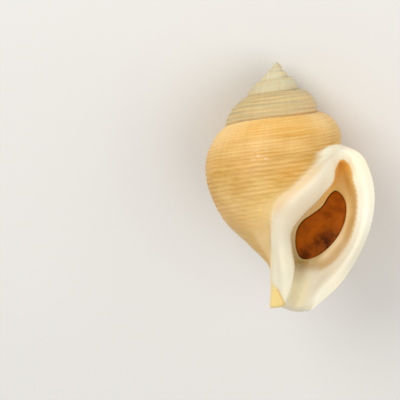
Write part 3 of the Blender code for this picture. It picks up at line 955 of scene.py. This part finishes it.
def relief_tree(name, numbers):
    """A geometry tree with its group sockets: the geometry, the numbers given, a seed and the material."""
    tree = bpy.data.node_groups.new(name, "GeometryNodeTree")
    tree.interface.new_socket("Geometry", in_out="INPUT", socket_type="NodeSocketGeometry")
    for label, value in numbers.items():
        tree.interface.new_socket(label, in_out="INPUT", socket_type="NodeSocketFloat").default_value = value
    tree.interface.new_socket("Seed", in_out="INPUT", socket_type="NodeSocketInt").default_value = 3
    tree.interface.new_socket("Material", in_out="INPUT", socket_type="NodeSocketMaterial")
    tree.interface.new_socket("Geometry", in_out="OUTPUT", socket_type="NodeSocketGeometry")
    return tree, node(tree, "NodeGroupInput").outputs


def finish_relief(tree, inputs, lift, ridge):
    """Moves the surface along its normals by the lift, keeps the ridge as a fact and sets the material."""
    normal = node(tree, "GeometryNodeInputNormal").outputs["Normal"]
    offset = node(tree, "ShaderNodeVectorMath", {0: normal, "Scale": lift}, operation="SCALE").outputs[0]
    moved = node(tree, "GeometryNodeSetPosition", {"Geometry": inputs["Geometry"], "Offset": offset})
    kept = node(
        tree,
        "GeometryNodeStoreNamedAttribute",
        {"Geometry": moved.outputs[0], "Name": "ridge", "Value": ridge},
        data_type="FLOAT",
        domain="POINT",
    )
    real = node(tree, "GeometryNodeRealizeInstances", {"Geometry": kept.outputs[0]})
    dressed = node(tree, "GeometryNodeSetMaterial", {"Geometry": real.outputs[0], "Material": inputs["Material"]})
    node(tree, "NodeGroupOutput", {"Geometry": dressed.outputs[0]})


def cord_tree():
    """The geometry tree that raises the spiral cords, the low swellings of growth and the edges' relief."""
    numbers = {"Cord Height": 0.00045, "Cord Fullness": 0.8, "Swell Height": 0.0003, "Swell Length": 0.012}
    tree, inputs = relief_tree("Spiral cords", numbers)
    at = named(tree, "cord_at")
    second = named(tree, "cord_second")
    size = named(tree, "cord_size")
    sunk = named(tree, "cord_sunk")
    both = maths(tree, "MULTIPLY_ADD", maths(tree, "COSINE", maths(tree, "MULTIPLY", at, 2.0 * math.pi)), 0.5, 0.5)
    alone = maths(tree, "MULTIPLY_ADD", maths(tree, "COSINE", maths(tree, "MULTIPLY", at, math.pi)), -0.5, 0.5)
    change = maths(tree, "SUBTRACT", both, alone)
    form = maths(tree, "MULTIPLY_ADD", change, second, alone)
    form = maths(tree, "POWER", maths(tree, "MAXIMUM", form, 0.0), inputs["Cord Fullness"])
    ridge = maths(tree, "MULTIPLY", form, size)
    raised = maths(tree, "MULTIPLY", maths(tree, "SUBTRACT", form, sunk), size)
    cords = maths(tree, "MULTIPLY", raised, inputs["Cord Height"])
    edges = maths(tree, "MULTIPLY", named(tree, "relief"), MM)
    position = node(tree, "GeometryNodeInputPosition").outputs[0]
    scale = maths(tree, "DIVIDE", 1.0, inputs["Swell Length"])
    cloud = noise(tree, position, scale, 1.0, 0.4, inputs["Seed"])
    swell = maths(tree, "MULTIPLY", maths(tree, "SUBTRACT", cloud, 0.75), inputs["Swell Height"])
    swell = maths(tree, "MULTIPLY", swell, maths(tree, "SUBTRACT", 1.0, named(tree, "inner")))
    lift = maths(tree, "ADD", maths(tree, "ADD", cords, edges), swell)
    finish_relief(tree, inputs, lift, ridge)
    return tree


def lid_tree():
    """The geometry tree that raises the lid's growth lines, ring on ring from its lower end."""
    tree, inputs = relief_tree("Lid growth lines", {"Line Height": 0.00006, "Lines": 15.0})
    wave = maths(tree, "COSINE", maths(tree, "MULTIPLY", named(tree, "cord_at"), 2.0 * math.pi))
    position = node(tree, "GeometryNodeInputPosition").outputs[0]
    cloud = noise(tree, position, 260.0, 2.0, 0.5, inputs["Seed"])
    lines = maths(tree, "MULTIPLY", maths(tree, "MULTIPLY", wave, named(tree, "cord_size")), inputs["Line Height"])
    uneven = maths(tree, "MULTIPLY", maths(tree, "SUBTRACT", cloud, 0.5), inputs["Line Height"])
    lift = maths(tree, "MULTIPLY_ADD", uneven, 2.0, lines)
    finish_relief(tree, inputs, lift, wave)
    return tree


def grow(mesh, tree, values):
    """The mesh as a plain object after its geometry tree has run with these values."""
    piece = bpy.data.objects.new(mesh.name, mesh)
    bpy.context.scene.collection.objects.link(piece)
    growth = piece.modifiers.new("Growth", "NODES")
    growth.node_group = tree
    for item in tree.interface.items_tree:
        if item.item_type == "SOCKET" and item.in_out == "INPUT" and item.name in values:
            growth[item.identifier] = values[item.name]
    depsgraph = bpy.context.evaluated_depsgraph_get()
    grown = bpy.data.meshes.new_from_object(
        piece.evaluated_get(depsgraph), preserve_all_data_layers=True, depsgraph=depsgraph
    )
    piece.modifiers.remove(growth)
    piece.data = grown
    grown.name = mesh.name + "_grown"
    bpy.data.meshes.remove(mesh)
    grown.shade_smooth()
    return piece


def wall_colour(tree, settings):
    """The outer wall: tan and orange on the body whorl, weathered grey up the spire, cream at the apex, with painted
    shade in the grooves between the cords and a lighter left flank that is partly a paler band, partly painted light.
    """
    place = node(tree, "ShaderNodeSeparateXYZ", {0: fact_vector(tree, "place")}).outputs
    turn, row = place["X"], place["Y"]
    grown = fact_vector(tree, "grown")
    spot = node(tree, "ShaderNodeTexCoord").outputs["Object"]
    body = stepped(
        tree,
        maths(tree, "DIVIDE", row, 3.0),
        (
            (0.0, srgb(240, 190, 104)),
            (0.10, srgb(232, 178, 78)),
            (0.26, srgb(209, 156, 58)),
            (0.42, srgb(207, 160, 64)),
            (0.56, srgb(228, 192, 114)),
            (0.70, srgb(232, 203, 148)),
            (1.0, srgb(243, 220, 168)),
        ),
    )
    spire = stepped(
        tree,
        maths(tree, "DIVIDE", maths(tree, "ADD", turn, 5.0), 5.0),
        (
            (0.0, srgb(204, 200, 172)),
            (0.20, srgb(210, 206, 178)),
            (0.36, srgb(220, 220, 196)),
            (0.46, srgb(206, 205, 176)),
            (0.56, srgb(204, 196, 162)),
            (0.67, srgb(190, 176, 134)),
            (0.78, srgb(232, 208, 156)),
            (0.84, srgb(238, 205, 136)),
        ),
    )
    base = mixed(tree, ranged(tree, turn, -1.06, -0.93), spire, body)
    patches = noise(tree, spot, 42.0, 3.0, 0.55, 2.0)
    streaks = noise(tree, scaled(tree, grown, (0.035, 0.16, 1.0)), 1.0, 2.0, 0.5, 5.0)
    cloud = maths(tree, "ADD", maths(tree, "MULTIPLY", patches, 0.55), maths(tree, "MULTIPLY", streaks, 0.45))
    on_body = ranged(tree, turn, -1.1, -0.9)
    low = ranged(tree, row, 1.1, 2.1, 1.0, 0.2)
    orange = maths(tree, "MULTIPLY", maths(tree, "MULTIPLY", ranged(tree, cloud, 0.44, 0.60), on_body), low)
    base = mixed(tree, maths(tree, "MULTIPLY", orange, 0.62), base, colour(settings.orange))
    # A lighter stretch on the left flank: partly a paler band of the wall, partly painted light where the flank turns
    # from the front.
    flank = maths(tree, "MULTIPLY", ranged(tree, turn, -0.68, -0.56), ranged(tree, turn, -0.36, -0.50))
    base = mixed(tree, maths(tree, "MULTIPLY", flank, 0.34), base, colour(settings.flank))
    olive = maths(tree, "MULTIPLY", ranged(tree, turn, -0.70, -0.80), ranged(tree, turn, -0.93, -0.86))
    olive = maths(tree, "MULTIPLY", olive, ranged(tree, row, 0.55, 1.1))
    base = mixed(tree, maths(tree, "MULTIPLY", olive, 0.75), base, colour(settings.olive))
    sides = maths(tree, "MULTIPLY", ranged(tree, turn, -0.74, -0.60), ranged(tree, turn, -0.20, -0.30))
    sides = maths(tree, "MULTIPLY", maths(tree, "ADD", sides, ranged(tree, turn, -0.84, -0.92)), on_body)
    top = maths(tree, "MULTIPLY", sides, ranged(tree, row, 0.95, 0.30))
    base = mixed(tree, maths(tree, "MULTIPLY", top, 0.75), base, colour(settings.shoulder))
    pale = maths(tree, "MULTIPLY", ranged(tree, cloud, 0.50, 0.36), on_body)
    base = mixed(tree, maths(tree, "MULTIPLY", pale, 0.55), base, colour(settings.pale))
    blush = ranged(tree, noise(tree, spot, 55.0, 2.0, 0.5, 27.0), 0.52, 0.66)
    base = mixed(tree, maths(tree, "MULTIPLY", blush, 0.28), base, colour(settings.blush))
    ridge = fact_value(tree, "ridge")
    uneven = noise(tree, scaled(tree, grown, (0.12, 0.9, 1.0)), 1.0, 3.0, 0.6, 9.0)
    # The grooves between the cords are darkened as painted shade.
    painted_groove_shade = mixed(tree, ranged(tree, uneven, 0.3, 0.7, 0.15, 0.6), base, colour(settings.painted_groove_shade), "MULTIPLY")
    crest = mixed(tree, ranged(tree, uneven, 0.3, 0.7, 0.32, 0.10), base, colour(settings.ridge))
    cords = mixed(tree, ranged(tree, ridge, 0.10, 0.80), painted_groove_shade, crest)
    shown = maths(tree, "MULTIPLY", ranged(tree, row, 2.0, 0.9), ranged(tree, turn, -4.0, -3.4))
    base = mixed(tree, shown, base, cords)
    threads = noise(tree, scaled(tree, grown, (0.10, 2.4, 1.0)), 1.0, 2.0, 0.6, 14.0)
    base = mixed(tree, ranged(tree, threads, 0.35, 0.68, 0.0, 0.30), base, colour(settings.ridge))
    lines = noise(tree, scaled(tree, grown, (1.15, 0.05, 1.0)), 1.0, 3.0, 0.6, 8.0)
    base = mixed(tree, ranged(tree, lines, 0.30, 0.72, 0.20, 0.0), base, colour(settings.growth_line))
    scuffs = noise(tree, scaled(tree, grown, (0.55, 1.3, 1.0)), 1.0, 4.0, 0.7, 12.0)
    base = mixed(tree, ranged(tree, scuffs, 0.70, 0.78, 0.0, 0.75), base, colour(settings.scuff))
    away = node(tree, "ShaderNodeVectorMath", {0: spot, 1: WORN_SPOT}, operation="DISTANCE").outputs["Value"]
    worn = maths(tree, "MULTIPLY", ranged(tree, away, 0.0045, 0.0015), ranged(tree, scuffs, 0.52, 0.60))
    base = mixed(tree, maths(tree, "MULTIPLY", worn, 0.35), base, colour(settings.scuff))
    specks = noise(tree, spot, 620.0, 1.0, 0.5, 17.0)
    base = mixed(tree, ranged(tree, specks, 0.805, 0.83, 0.0, 0.7), base, colour(settings.speck))
    return base, lines


def glaze_colour(tree, settings):
    """The glazed lip, shield and pillar: white to cream, a little pink over the shield, and greyer with painted shade
    down the lower lip, across the canal and up the pillar.
    """
    place = node(tree, "ShaderNodeSeparateXYZ", {0: fact_vector(tree, "place")}).outputs
    ring, station = place["X"], place["Y"]
    spot = node(tree, "ShaderNodeTexCoord").outputs["Object"]
    # Stations 6 to 13, down the lower lip, across the canal and up the pillar, are greyer: painted shade.
    base = stepped(
        tree,
        maths(tree, "DIVIDE", station, 16.0),
        (
            (0.0, srgb(252, 246, 224)),
            (0.09, srgb(253, 244, 214)),
            (0.20, srgb(250, 244, 224)),
            (0.37, srgb(226, 221, 198)),
            (0.47, srgb(230, 223, 200)),
            (0.57, srgb(236, 225, 190)),
            (0.70, srgb(226, 220, 196)),
            (0.84, srgb(236, 222, 194)),
            (1.0, srgb(250, 242, 218)),
        ),
    )
    cloud = noise(tree, spot, 75.0, 1.0, 0.4, 21.0)
    base = mixed(tree, ranged(tree, cloud, 0.40, 0.72, 0.0, 0.40), base, colour(settings.glaze_tint))
    over = maths(tree, "MULTIPLY", ranged(tree, station, 12.8, 13.8), ranged(tree, ring, 0.95, 0.25))
    over = maths(tree, "MULTIPLY", over, ranged(tree, station, 15.9, 15.0))
    base = mixed(tree, maths(tree, "MULTIPLY", over, 0.65), base, colour(settings.shield_tint))
    return base


def inner_colour(tree, settings):
    """The inner wall of the mouth: tan, orange in the slit behind, a brown strip just below the lid, cream down in the
    canal. The slit's orange and the strip below the lid are partly painted shade.
    """
    place = node(tree, "ShaderNodeSeparateXYZ", {0: fact_vector(tree, "place")}).outputs
    station = place["Y"]
    spot = node(tree, "ShaderNodeTexCoord").outputs["Object"]
    # The brown stops from about station 7.7 to 10 are partly the wall's colour, partly painted shadow under the lid.
    base = stepped(
        tree,
        maths(tree, "DIVIDE", station, 16.0),
        (
            (0.0, srgb(238, 192, 108)),
            (0.12, srgb(230, 186, 106)),
            (0.24, srgb(234, 200, 136)),
            (0.38, srgb(230, 206, 162)),
            (0.48, srgb(180, 148, 88)),
            (0.62, srgb(176, 150, 92)),
            (0.80, srgb(206, 178, 116)),
            (1.0, srgb(236, 186, 98)),
        ),
    )
    cloud = noise(tree, spot, 110.0, 1.0, 0.4, 31.0)
    base = mixed(tree, ranged(tree, cloud, 0.42, 0.66, 0.0, 0.35), base, colour(settings.inner_dark))
    # Deeper orange in the slit: partly the wall's colour, partly painted shade.
    return mixed(tree, maths(tree, "MULTIPLY", fact_value(tree, "slit"), 0.7), base, colour(settings.slit))


def shell_material(settings):
    """The shell's whole surface: corded wall, glaze and inner wall."""
    made, tree, shader = new_material("corded_shell_and_glaze")
    wall, lines = wall_colour(tree, settings)
    glaze = fact_value(tree, "glaze")
    inner = fact_value(tree, "inner")
    face = mixed(tree, glaze, wall, glaze_colour(tree, settings))
    yellow = maths(tree, "MULTIPLY", fact_value(tree, "yellow"), 0.8)
    face = mixed(tree, yellow, face, colour(settings.yellow))
    # Painted orange shadow along the crease beside the pillar's glaze.
    crease = maths(tree, "MULTIPLY", fact_value(tree, "crease"), 0.85)
    face = mixed(tree, crease, face, colour(settings.crease))
    base = mixed(tree, inner, face, inner_colour(tree, settings))
    tree.links.new(base, shader.inputs["Base Color"])
    spot = node(tree, "ShaderNodeTexCoord").outputs["Object"]
    grain = noise(tree, spot, 900.0, 3.0, 0.6, 41.0)
    rough = ranged(tree, grain, 0.3, 0.7, 0.44, 0.58)
    soft = noise(tree, spot, 170.0, 1.0, 0.4, 43.0)
    gloss = ranged(tree, soft, 0.3, 0.7, 0.34, 0.44)
    share = node(tree, "ShaderNodeMix", {0: glaze, 2: rough, 3: gloss}, data_type="FLOAT")
    tree.links.new(share.outputs[0], shader.inputs["Roughness"])
    worn = maths(tree, "MULTIPLY_ADD", grain, 0.07, lines)
    height = node(tree, "ShaderNodeMix", {0: glaze, 2: worn, 3: soft}, data_type="FLOAT").outputs[0]
    bump = node(tree, "ShaderNodeBump", {"Strength": 0.55, "Distance": 0.00022, "Height": height})
    tree.links.new(bump.outputs["Normal"], shader.inputs["Normal"])
    shader.inputs["IOR"].default_value = 1.53
    shader.inputs["Specular IOR Level"].default_value = 0.42
    return made


def lid_material(settings):
    """The horny lid: amber brown, streaked, darker at its rim, with painted shade toward its lower end and in the
    grooves of its growth lines.
    """
    made, tree, shader = new_material("horny_lid")
    spot = node(tree, "ShaderNodeTexCoord").outputs["Object"]
    cloud = noise(tree, spot, 210.0, 3.0, 0.6, 7.0)
    facets = node(tree, "ShaderNodeTexVoronoi", {"Vector": spot, "Scale": 240.0}, feature="F1").outputs["Distance"]
    base = mixed(tree, ranged(tree, cloud, 0.40, 0.74), colour(settings.amber), colour(settings.brown))
    base = mixed(tree, ranged(tree, facets, 0.2, 0.9, 0.0, 0.20), base, colour(settings.brown))
    # The slit fact carries the lid's painted shade toward its lower end.
    dark = fact_value(tree, "slit")
    shade = maths(tree, "MULTIPLY", dark, ranged(tree, cloud, 0.34, 0.60, 0.45, 1.0), clamp=True)
    base = mixed(tree, shade, base, colour(settings.dark))
    rim = fact_value(tree, "crease")
    base = mixed(tree, maths(tree, "MULTIPLY", rim, 0.45), base, colour(settings.rim))
    # The grooves of the growth lines are darkened a little as painted shade.
    wave = fact_value(tree, "ridge")
    base = mixed(tree, ranged(tree, wave, -1.0, 1.0, 0.06, 0.0), base, colour(settings.dark))
    tree.links.new(base, shader.inputs["Base Color"])
    tree.links.new(ranged(tree, cloud, 0.3, 0.7, 0.34, 0.48), shader.inputs["Roughness"])
    shader.inputs["Specular IOR Level"].default_value = 0.05
    grain = noise(tree, spot, 700.0, 2.0, 0.5, 11.0)
    height = maths(tree, "MULTIPLY_ADD", facets, 1.6, maths(tree, "MULTIPLY", grain, 0.4))
    bump = node(tree, "ShaderNodeBump", {"Strength": 0.5, "Distance": 0.00015, "Height": height})
    tree.links.new(bump.outputs["Normal"], shader.inputs["Normal"])
    shader.inputs["IOR"].default_value = 1.5
    return made


def floor_material(settings):
    """A plain pale floor."""
    made, tree, shader = new_material("pale_floor")
    spot = node(tree, "ShaderNodeTexCoord").outputs["Object"]
    cloud = noise(tree, spot, 9.0, 2.0, 0.5, 1.0)
    shade = tuple(value * 0.97 for value in settings.floor[:3])
    tree.links.new(mixed(tree, cloud, colour(settings.floor), colour(shade)), shader.inputs["Base Color"])
    shader.inputs["Roughness"].default_value = 0.7
    return made


def shell_piece(settings):
    """The shell: its skin, its cords and its surface."""
    skin = Skin()
    columns, rows = add_body(skin, add_spire(skin))
    rim, stations = mouth_rim(columns, rows)
    add_mouth(skin, rim, stations)
    weight = np.zeros(len(skin.points))
    rim_at = np.array(stations)
    weight[rim] = np.where(rim_at < 10.0, 0.5, np.where(rim_at < 13.0, 0.3, 0.0))
    weight[columns[-2].vertices] = 0.3
    skin.points = softened(skin.points, skin.faces, weight, 3)
    skin.points = softened(skin.points, skin.faces, 0.5 * skin.facts["smooth"], SEAM_ROUNDS)
    mesh = mesh_of("helmet_shell", skin, frame_origin())
    values = {
        "Cord Height": settings.cord_height,
        "Cord Fullness": settings.cord_fullness,
        "Swell Height": settings.swell_height,
        "Material": shell_material(settings),
    }
    return grow(mesh, cord_tree(), values)


def lid_painted_shade(points):
    """How much painted shade the lid has at points: most in its shaded places, each an x, a depth, a reach and a
    strength.
    """
    shade = np.zeros(len(points))
    for x, depth, reach, strength in LID_PAINTED_SHADE:
        away = np.linalg.norm(points[:, (0, 2)] - (x, depth), axis=1)
        shade = np.maximum(shade, strength * (1.0 - eased(away, 0.15 * reach, reach)))
    return shade


def lid_piece(settings):
    """The lid: its rings, its growth lines and its surface."""
    skin = Skin()
    outline = lid_outline(LID_POINTS)
    places = np.arange(LID_POINTS) * 16.0 / LID_POINTS
    low_end = np.array((10.5, 68.5))
    rims = []
    for side, count in ((0, LID_RINGS), (1, LID_BACK_RINGS)):
        line = None
        for ring in np.linspace(1.0, 1.0 / count, count):
            points = lid_ring(outline, ring, side)
            away = np.linalg.norm(points[:, (0, 2)] - low_end, axis=1)
            facts = {
                "cord_at": np.maximum(away / 26.0, ring) * settings.line_count,
                "cord_size": 1.0 - eased(ring, 0.90, 0.98),
                "crease": eased(ring, 0.955, 0.995) if side == 0 else 1.0,
                # The lid's painted shade is kept in the slit fact.
                "slit": lid_painted_shade(points),
            }
            here = Line(skin.add(points, facts), places, ring).closed()
            if line is None:
                rims.append(here)
            else:
                skin.zip(line, here, 3.0)
            line = here
        middle = outline.mean(axis=0)
        centre = (middle[0], LID_Y + LID_THICKNESS * side + LID_DISH, middle[1])
        skin.fan(line, skin.add(centre, {"cord_size": 1.0})[0], 3.0)
    skin.zip(rims[0], rims[1], 3.0)
    mesh = mesh_of("lid", skin, frame_origin())
    values = {"Line Height": settings.line_height, "Material": lid_material(settings)}
    return grow(mesh, lid_tree(), values)


class ShellSettings(bpy.types.PropertyGroup):
    cord_height: bpy.props.FloatProperty(
        name="Cord height", description="How far the spiral cords stand up", default=0.00036, subtype="DISTANCE"
    )
    cord_fullness: bpy.props.FloatProperty(
        name="Cord fullness", description="Below 1 the cords are broad with narrow grooves", default=0.8
    )
    swell_height: bpy.props.FloatProperty(
        name="Swell height", description="How far the low swellings reach", default=0.0003, subtype="DISTANCE"
    )
    orange: bpy.props.FloatVectorProperty(
        name="Orange", description="The deep patches of the wall", default=srgb(226, 156, 46), subtype="COLOR"
    )
    pale: bpy.props.FloatVectorProperty(
        name="Pale", description="The light patches of the wall", default=srgb(246, 212, 146), subtype="COLOR"
    )
    blush: bpy.props.FloatVectorProperty(
        name="Blush", description="The pinkish patches of the wall", default=srgb(240, 196, 140), subtype="COLOR"
    )
    ridge: bpy.props.FloatVectorProperty(
        name="Ridge", description="What lightens the cords", default=srgb(252, 212, 134), subtype="COLOR"
    )
    # Painted shade in the grooves between the cords.
    painted_groove_shade: bpy.props.FloatVectorProperty(
        name="Groove", description="What darkens the grooves", default=srgb(238, 224, 206), subtype="COLOR"
    )
    # Lighter left flank: partly a paler band, partly painted light.
    flank: bpy.props.FloatVectorProperty(
        name="Flank", description="The lighter stretch of the body whorl", default=srgb(252, 212, 132), subtype="COLOR"
    )
    shoulder: bpy.props.FloatVectorProperty(
        name="Shoulder", description="The pale top of the body whorl", default=srgb(254, 222, 158), subtype="COLOR"
    )
    olive: bpy.props.FloatVectorProperty(
        name="Olive", description="The duller stretch beside the shield", default=srgb(206, 162, 84), subtype="COLOR"
    )
    growth_line: bpy.props.FloatVectorProperty(
        name="Growth line", description="The faint lines along the whorls", default=srgb(190, 140, 70), subtype="COLOR"
    )
    scuff: bpy.props.FloatVectorProperty(
        name="Scuff", description="Small worn marks", default=srgb(252, 234, 204), subtype="COLOR"
    )
    speck: bpy.props.FloatVectorProperty(
        name="Speck", description="Tiny dark pits", default=srgb(120, 84, 40), subtype="COLOR"
    )
    yellow: bpy.props.FloatVectorProperty(
        name="Yellow", description="The ridge beside the canal", default=srgb(242, 210, 118), subtype="COLOR"
    )
    # Painted shadow in the crease beside the pillar's glaze.
    crease: bpy.props.FloatVectorProperty(
        name="Crease", description="The crease beside the shield", default=srgb(232, 182, 84), subtype="COLOR"
    )
    glaze_tint: bpy.props.FloatVectorProperty(
        name="Glaze tint", description="The warm clouds in the glaze", default=srgb(244, 226, 192), subtype="COLOR"
    )
    shield_tint: bpy.props.FloatVectorProperty(
        name="Shield tint", description="The thin glaze over the cords", default=srgb(234, 196, 136), subtype="COLOR"
    )
    inner_dark: bpy.props.FloatVectorProperty(
        name="Inner dark", description="The clouds of the inner wall", default=srgb(206, 160, 84), subtype="COLOR"
    )
    # Deeper orange of the slit: partly the wall's colour, partly painted shade.
    slit: bpy.props.FloatVectorProperty(
        name="Slit", description="The slit at the back of the mouth", default=srgb(242, 184, 78), subtype="COLOR"
    )


class LidSettings(bpy.types.PropertyGroup):
    line_height: bpy.props.FloatProperty(
        name="Line height", description="How far the growth lines stand up", default=0.00002, subtype="DISTANCE"
    )
    line_count: bpy.props.FloatProperty(name="Lines", description="How many growth lines there are", default=9.0)
    amber: bpy.props.FloatVectorProperty(
        name="Amber", description="The light horn", default=srgb(172, 86, 0), subtype="COLOR"
    )
    brown: bpy.props.FloatVectorProperty(
        name="Brown", description="The brown horn", default=srgb(136, 62, 0), subtype="COLOR"
    )
    # Painted shade at the lid's lower end and in the grooves of its growth lines.
    dark: bpy.props.FloatVectorProperty(
        name="Dark", description="The dark lower end", default=srgb(62, 20, 0), subtype="COLOR"
    )
    rim: bpy.props.FloatVectorProperty(
        name="Rim", description="The lid's rim", default=srgb(84, 42, 10), subtype="COLOR"
    )


class StudioSettings(bpy.types.PropertyGroup):
    key_power: bpy.props.FloatProperty(
        name="Key light", description="Strength of the large soft light", default=4.9, subtype="POWER"
    )
    fill_power: bpy.props.FloatProperty(
        name="Fill light", description="Strength of the light opposite", default=2.6, subtype="POWER"
    )
    sky: bpy.props.FloatProperty(name="Sky", description="Strength of the even light all round", default=0.58)
    floor: bpy.props.FloatVectorProperty(
        name="Floor", description="The floor's colour", default=srgb(232, 230, 226), subtype="COLOR"
    )
    frame_width: bpy.props.FloatProperty(
        name="Frame width", description="What the camera's width shows", default=0.144, subtype="DISTANCE"
    )
    distance: bpy.props.FloatProperty(
        name="Camera distance", description="From the camera to the shell", default=1.6, subtype="DISTANCE"
    )


class SHELL_OT_build_shell(bpy.types.Operator):
    """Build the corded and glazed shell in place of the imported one"""

    bl_idname = "helmet_shell.build_shell"
    bl_label = "Build shell"

    def execute(self, context):
        piece = shell_piece(context.scene.shell_settings)
        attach(piece, "root")
        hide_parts("shell")
        return {"FINISHED"}


class SHELL_OT_build_lid(bpy.types.Operator):
    """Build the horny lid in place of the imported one"""

    bl_idname = "helmet_shell.build_lid"
    bl_label = "Build lid"

    def execute(self, context):
        piece = lid_piece(context.scene.lid_settings)
        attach(piece, "root")
        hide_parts("operculum")
        return {"FINISHED"}


def area_light(name, place, target, size, power):
    """A square soft light that shines from a place at a target."""
    data = bpy.data.lights.new(name, "AREA")
    data.shape = "SQUARE"
    data.size = size
    data.energy = power
    light = bpy.data.objects.new(name, data)
    light.location = place
    light.rotation_euler = (target - place).to_track_quat("-Z", "Y").to_euler()
    bpy.context.scene.collection.objects.link(light)


class SHELL_OT_build_studio(bpy.types.Operator):
    """Build the floor, the lights and the camera"""

    bl_idname = "helmet_shell.build_studio"
    bl_label = "Build studio"

    def execute(self, context):
        settings = context.scene.studio_settings
        turn = Matrix.Rotation(TIP, 3, "X") @ Matrix.Rotation(ROLL, 3, "Y")
        right = turn @ Vector((1.0, 0.0, 0.0))
        up = turn @ Vector((0.0, 1.0, 0.0))
        back = turn @ Vector((0.0, 0.0, 1.0))
        apex = -Vector(frame_origin()) * MM
        target = apex + right * settings.frame_width * (200.0 - 276.2) / 400.0
        target += up * settings.frame_width * (62.5 - 200.0) / 400.0
        lens = bpy.data.cameras.new("camera")
        lens.sensor_width = 36.0
        lens.lens = 36.0 * settings.distance / settings.frame_width
        lens.clip_end = 50.0
        camera = bpy.data.objects.new("camera", lens)
        camera.matrix_world = Matrix.LocRotScale(
            target + back * settings.distance, Matrix((right, up, back)).transposed().to_quaternion(), None
        )
        context.scene.collection.objects.link(camera)
        context.scene.camera = camera
        middle = Vector((0.0, 0.0, 0.03))
        area_light("key_light", middle + back * 0.84 + up * 0.3 - right * 0.46, middle, 0.6, settings.key_power)
        area_light("fill_light", middle + back * 0.7 - up * 0.25 + right * 0.5, middle, 0.8, settings.fill_power)
        world = bpy.data.worlds.new("even_light")
        world.use_nodes = True
        world.node_tree.nodes["Background"].inputs["Color"].default_value = (1.0, 0.99, 0.97, 1.0)
        world.node_tree.nodes["Background"].inputs["Strength"].default_value = settings.sky
        context.scene.world = world
        context.scene.view_settings.view_transform = "Standard"
        mesh = bpy.data.meshes.new("floor")
        shape = bmesh.new()
        bmesh.ops.create_grid(shape, x_segments=8, y_segments=8, size=3.0)
        shape.to_mesh(mesh)
        shape.free()
        mesh.materials.append(floor_material(settings))
        floor = bpy.data.objects.new("floor", mesh)
        context.scene.collection.objects.link(floor)
        return {"FINISHED"}


class SHELL_PT_panel(bpy.types.Panel):
    """The helmet shell's settings and steps"""

    bl_idname = "SHELL_PT_panel"
    bl_label = "Helmet shell"
    bl_space_type = "VIEW_3D"
    bl_region_type = "UI"
    bl_category = "Helmet shell"

    def draw(self, context):
        steps = (
            (SHELL_OT_build_shell, context.scene.shell_settings),
            (SHELL_OT_build_lid, context.scene.lid_settings),
            (SHELL_OT_build_studio, context.scene.studio_settings),
        )
        for operator, settings in steps:
            box = self.layout.box()
            for name in settings.__annotations__:
                box.prop(settings, name)
            box.operator(operator.bl_idname)


CLASSES = (
    ShellSettings,
    LidSettings,
    StudioSettings,
    SHELL_OT_build_shell,
    SHELL_OT_build_lid,
    SHELL_OT_build_studio,
    SHELL_PT_panel,
)


def register():
    for cls in CLASSES:
        bpy.utils.register_class(cls)
    bpy.types.Scene.shell_settings = bpy.props.PointerProperty(type=ShellSettings)
    bpy.types.Scene.lid_settings = bpy.props.PointerProperty(type=LidSettings)
    bpy.types.Scene.studio_settings = bpy.props.PointerProperty(type=StudioSettings)


def unregister():
    del bpy.types.Scene.studio_settings
    del bpy.types.Scene.lid_settings
    del bpy.types.Scene.shell_settings
    for cls in reversed(CLASSES):
        bpy.utils.unregister_class(cls)


def main():
    register()
    bpy.ops.helmet_shell.build_shell()
    bpy.ops.helmet_shell.build_lid()
    bpy.ops.helmet_shell.build_studio()


if __name__ == "__main__":
    main()
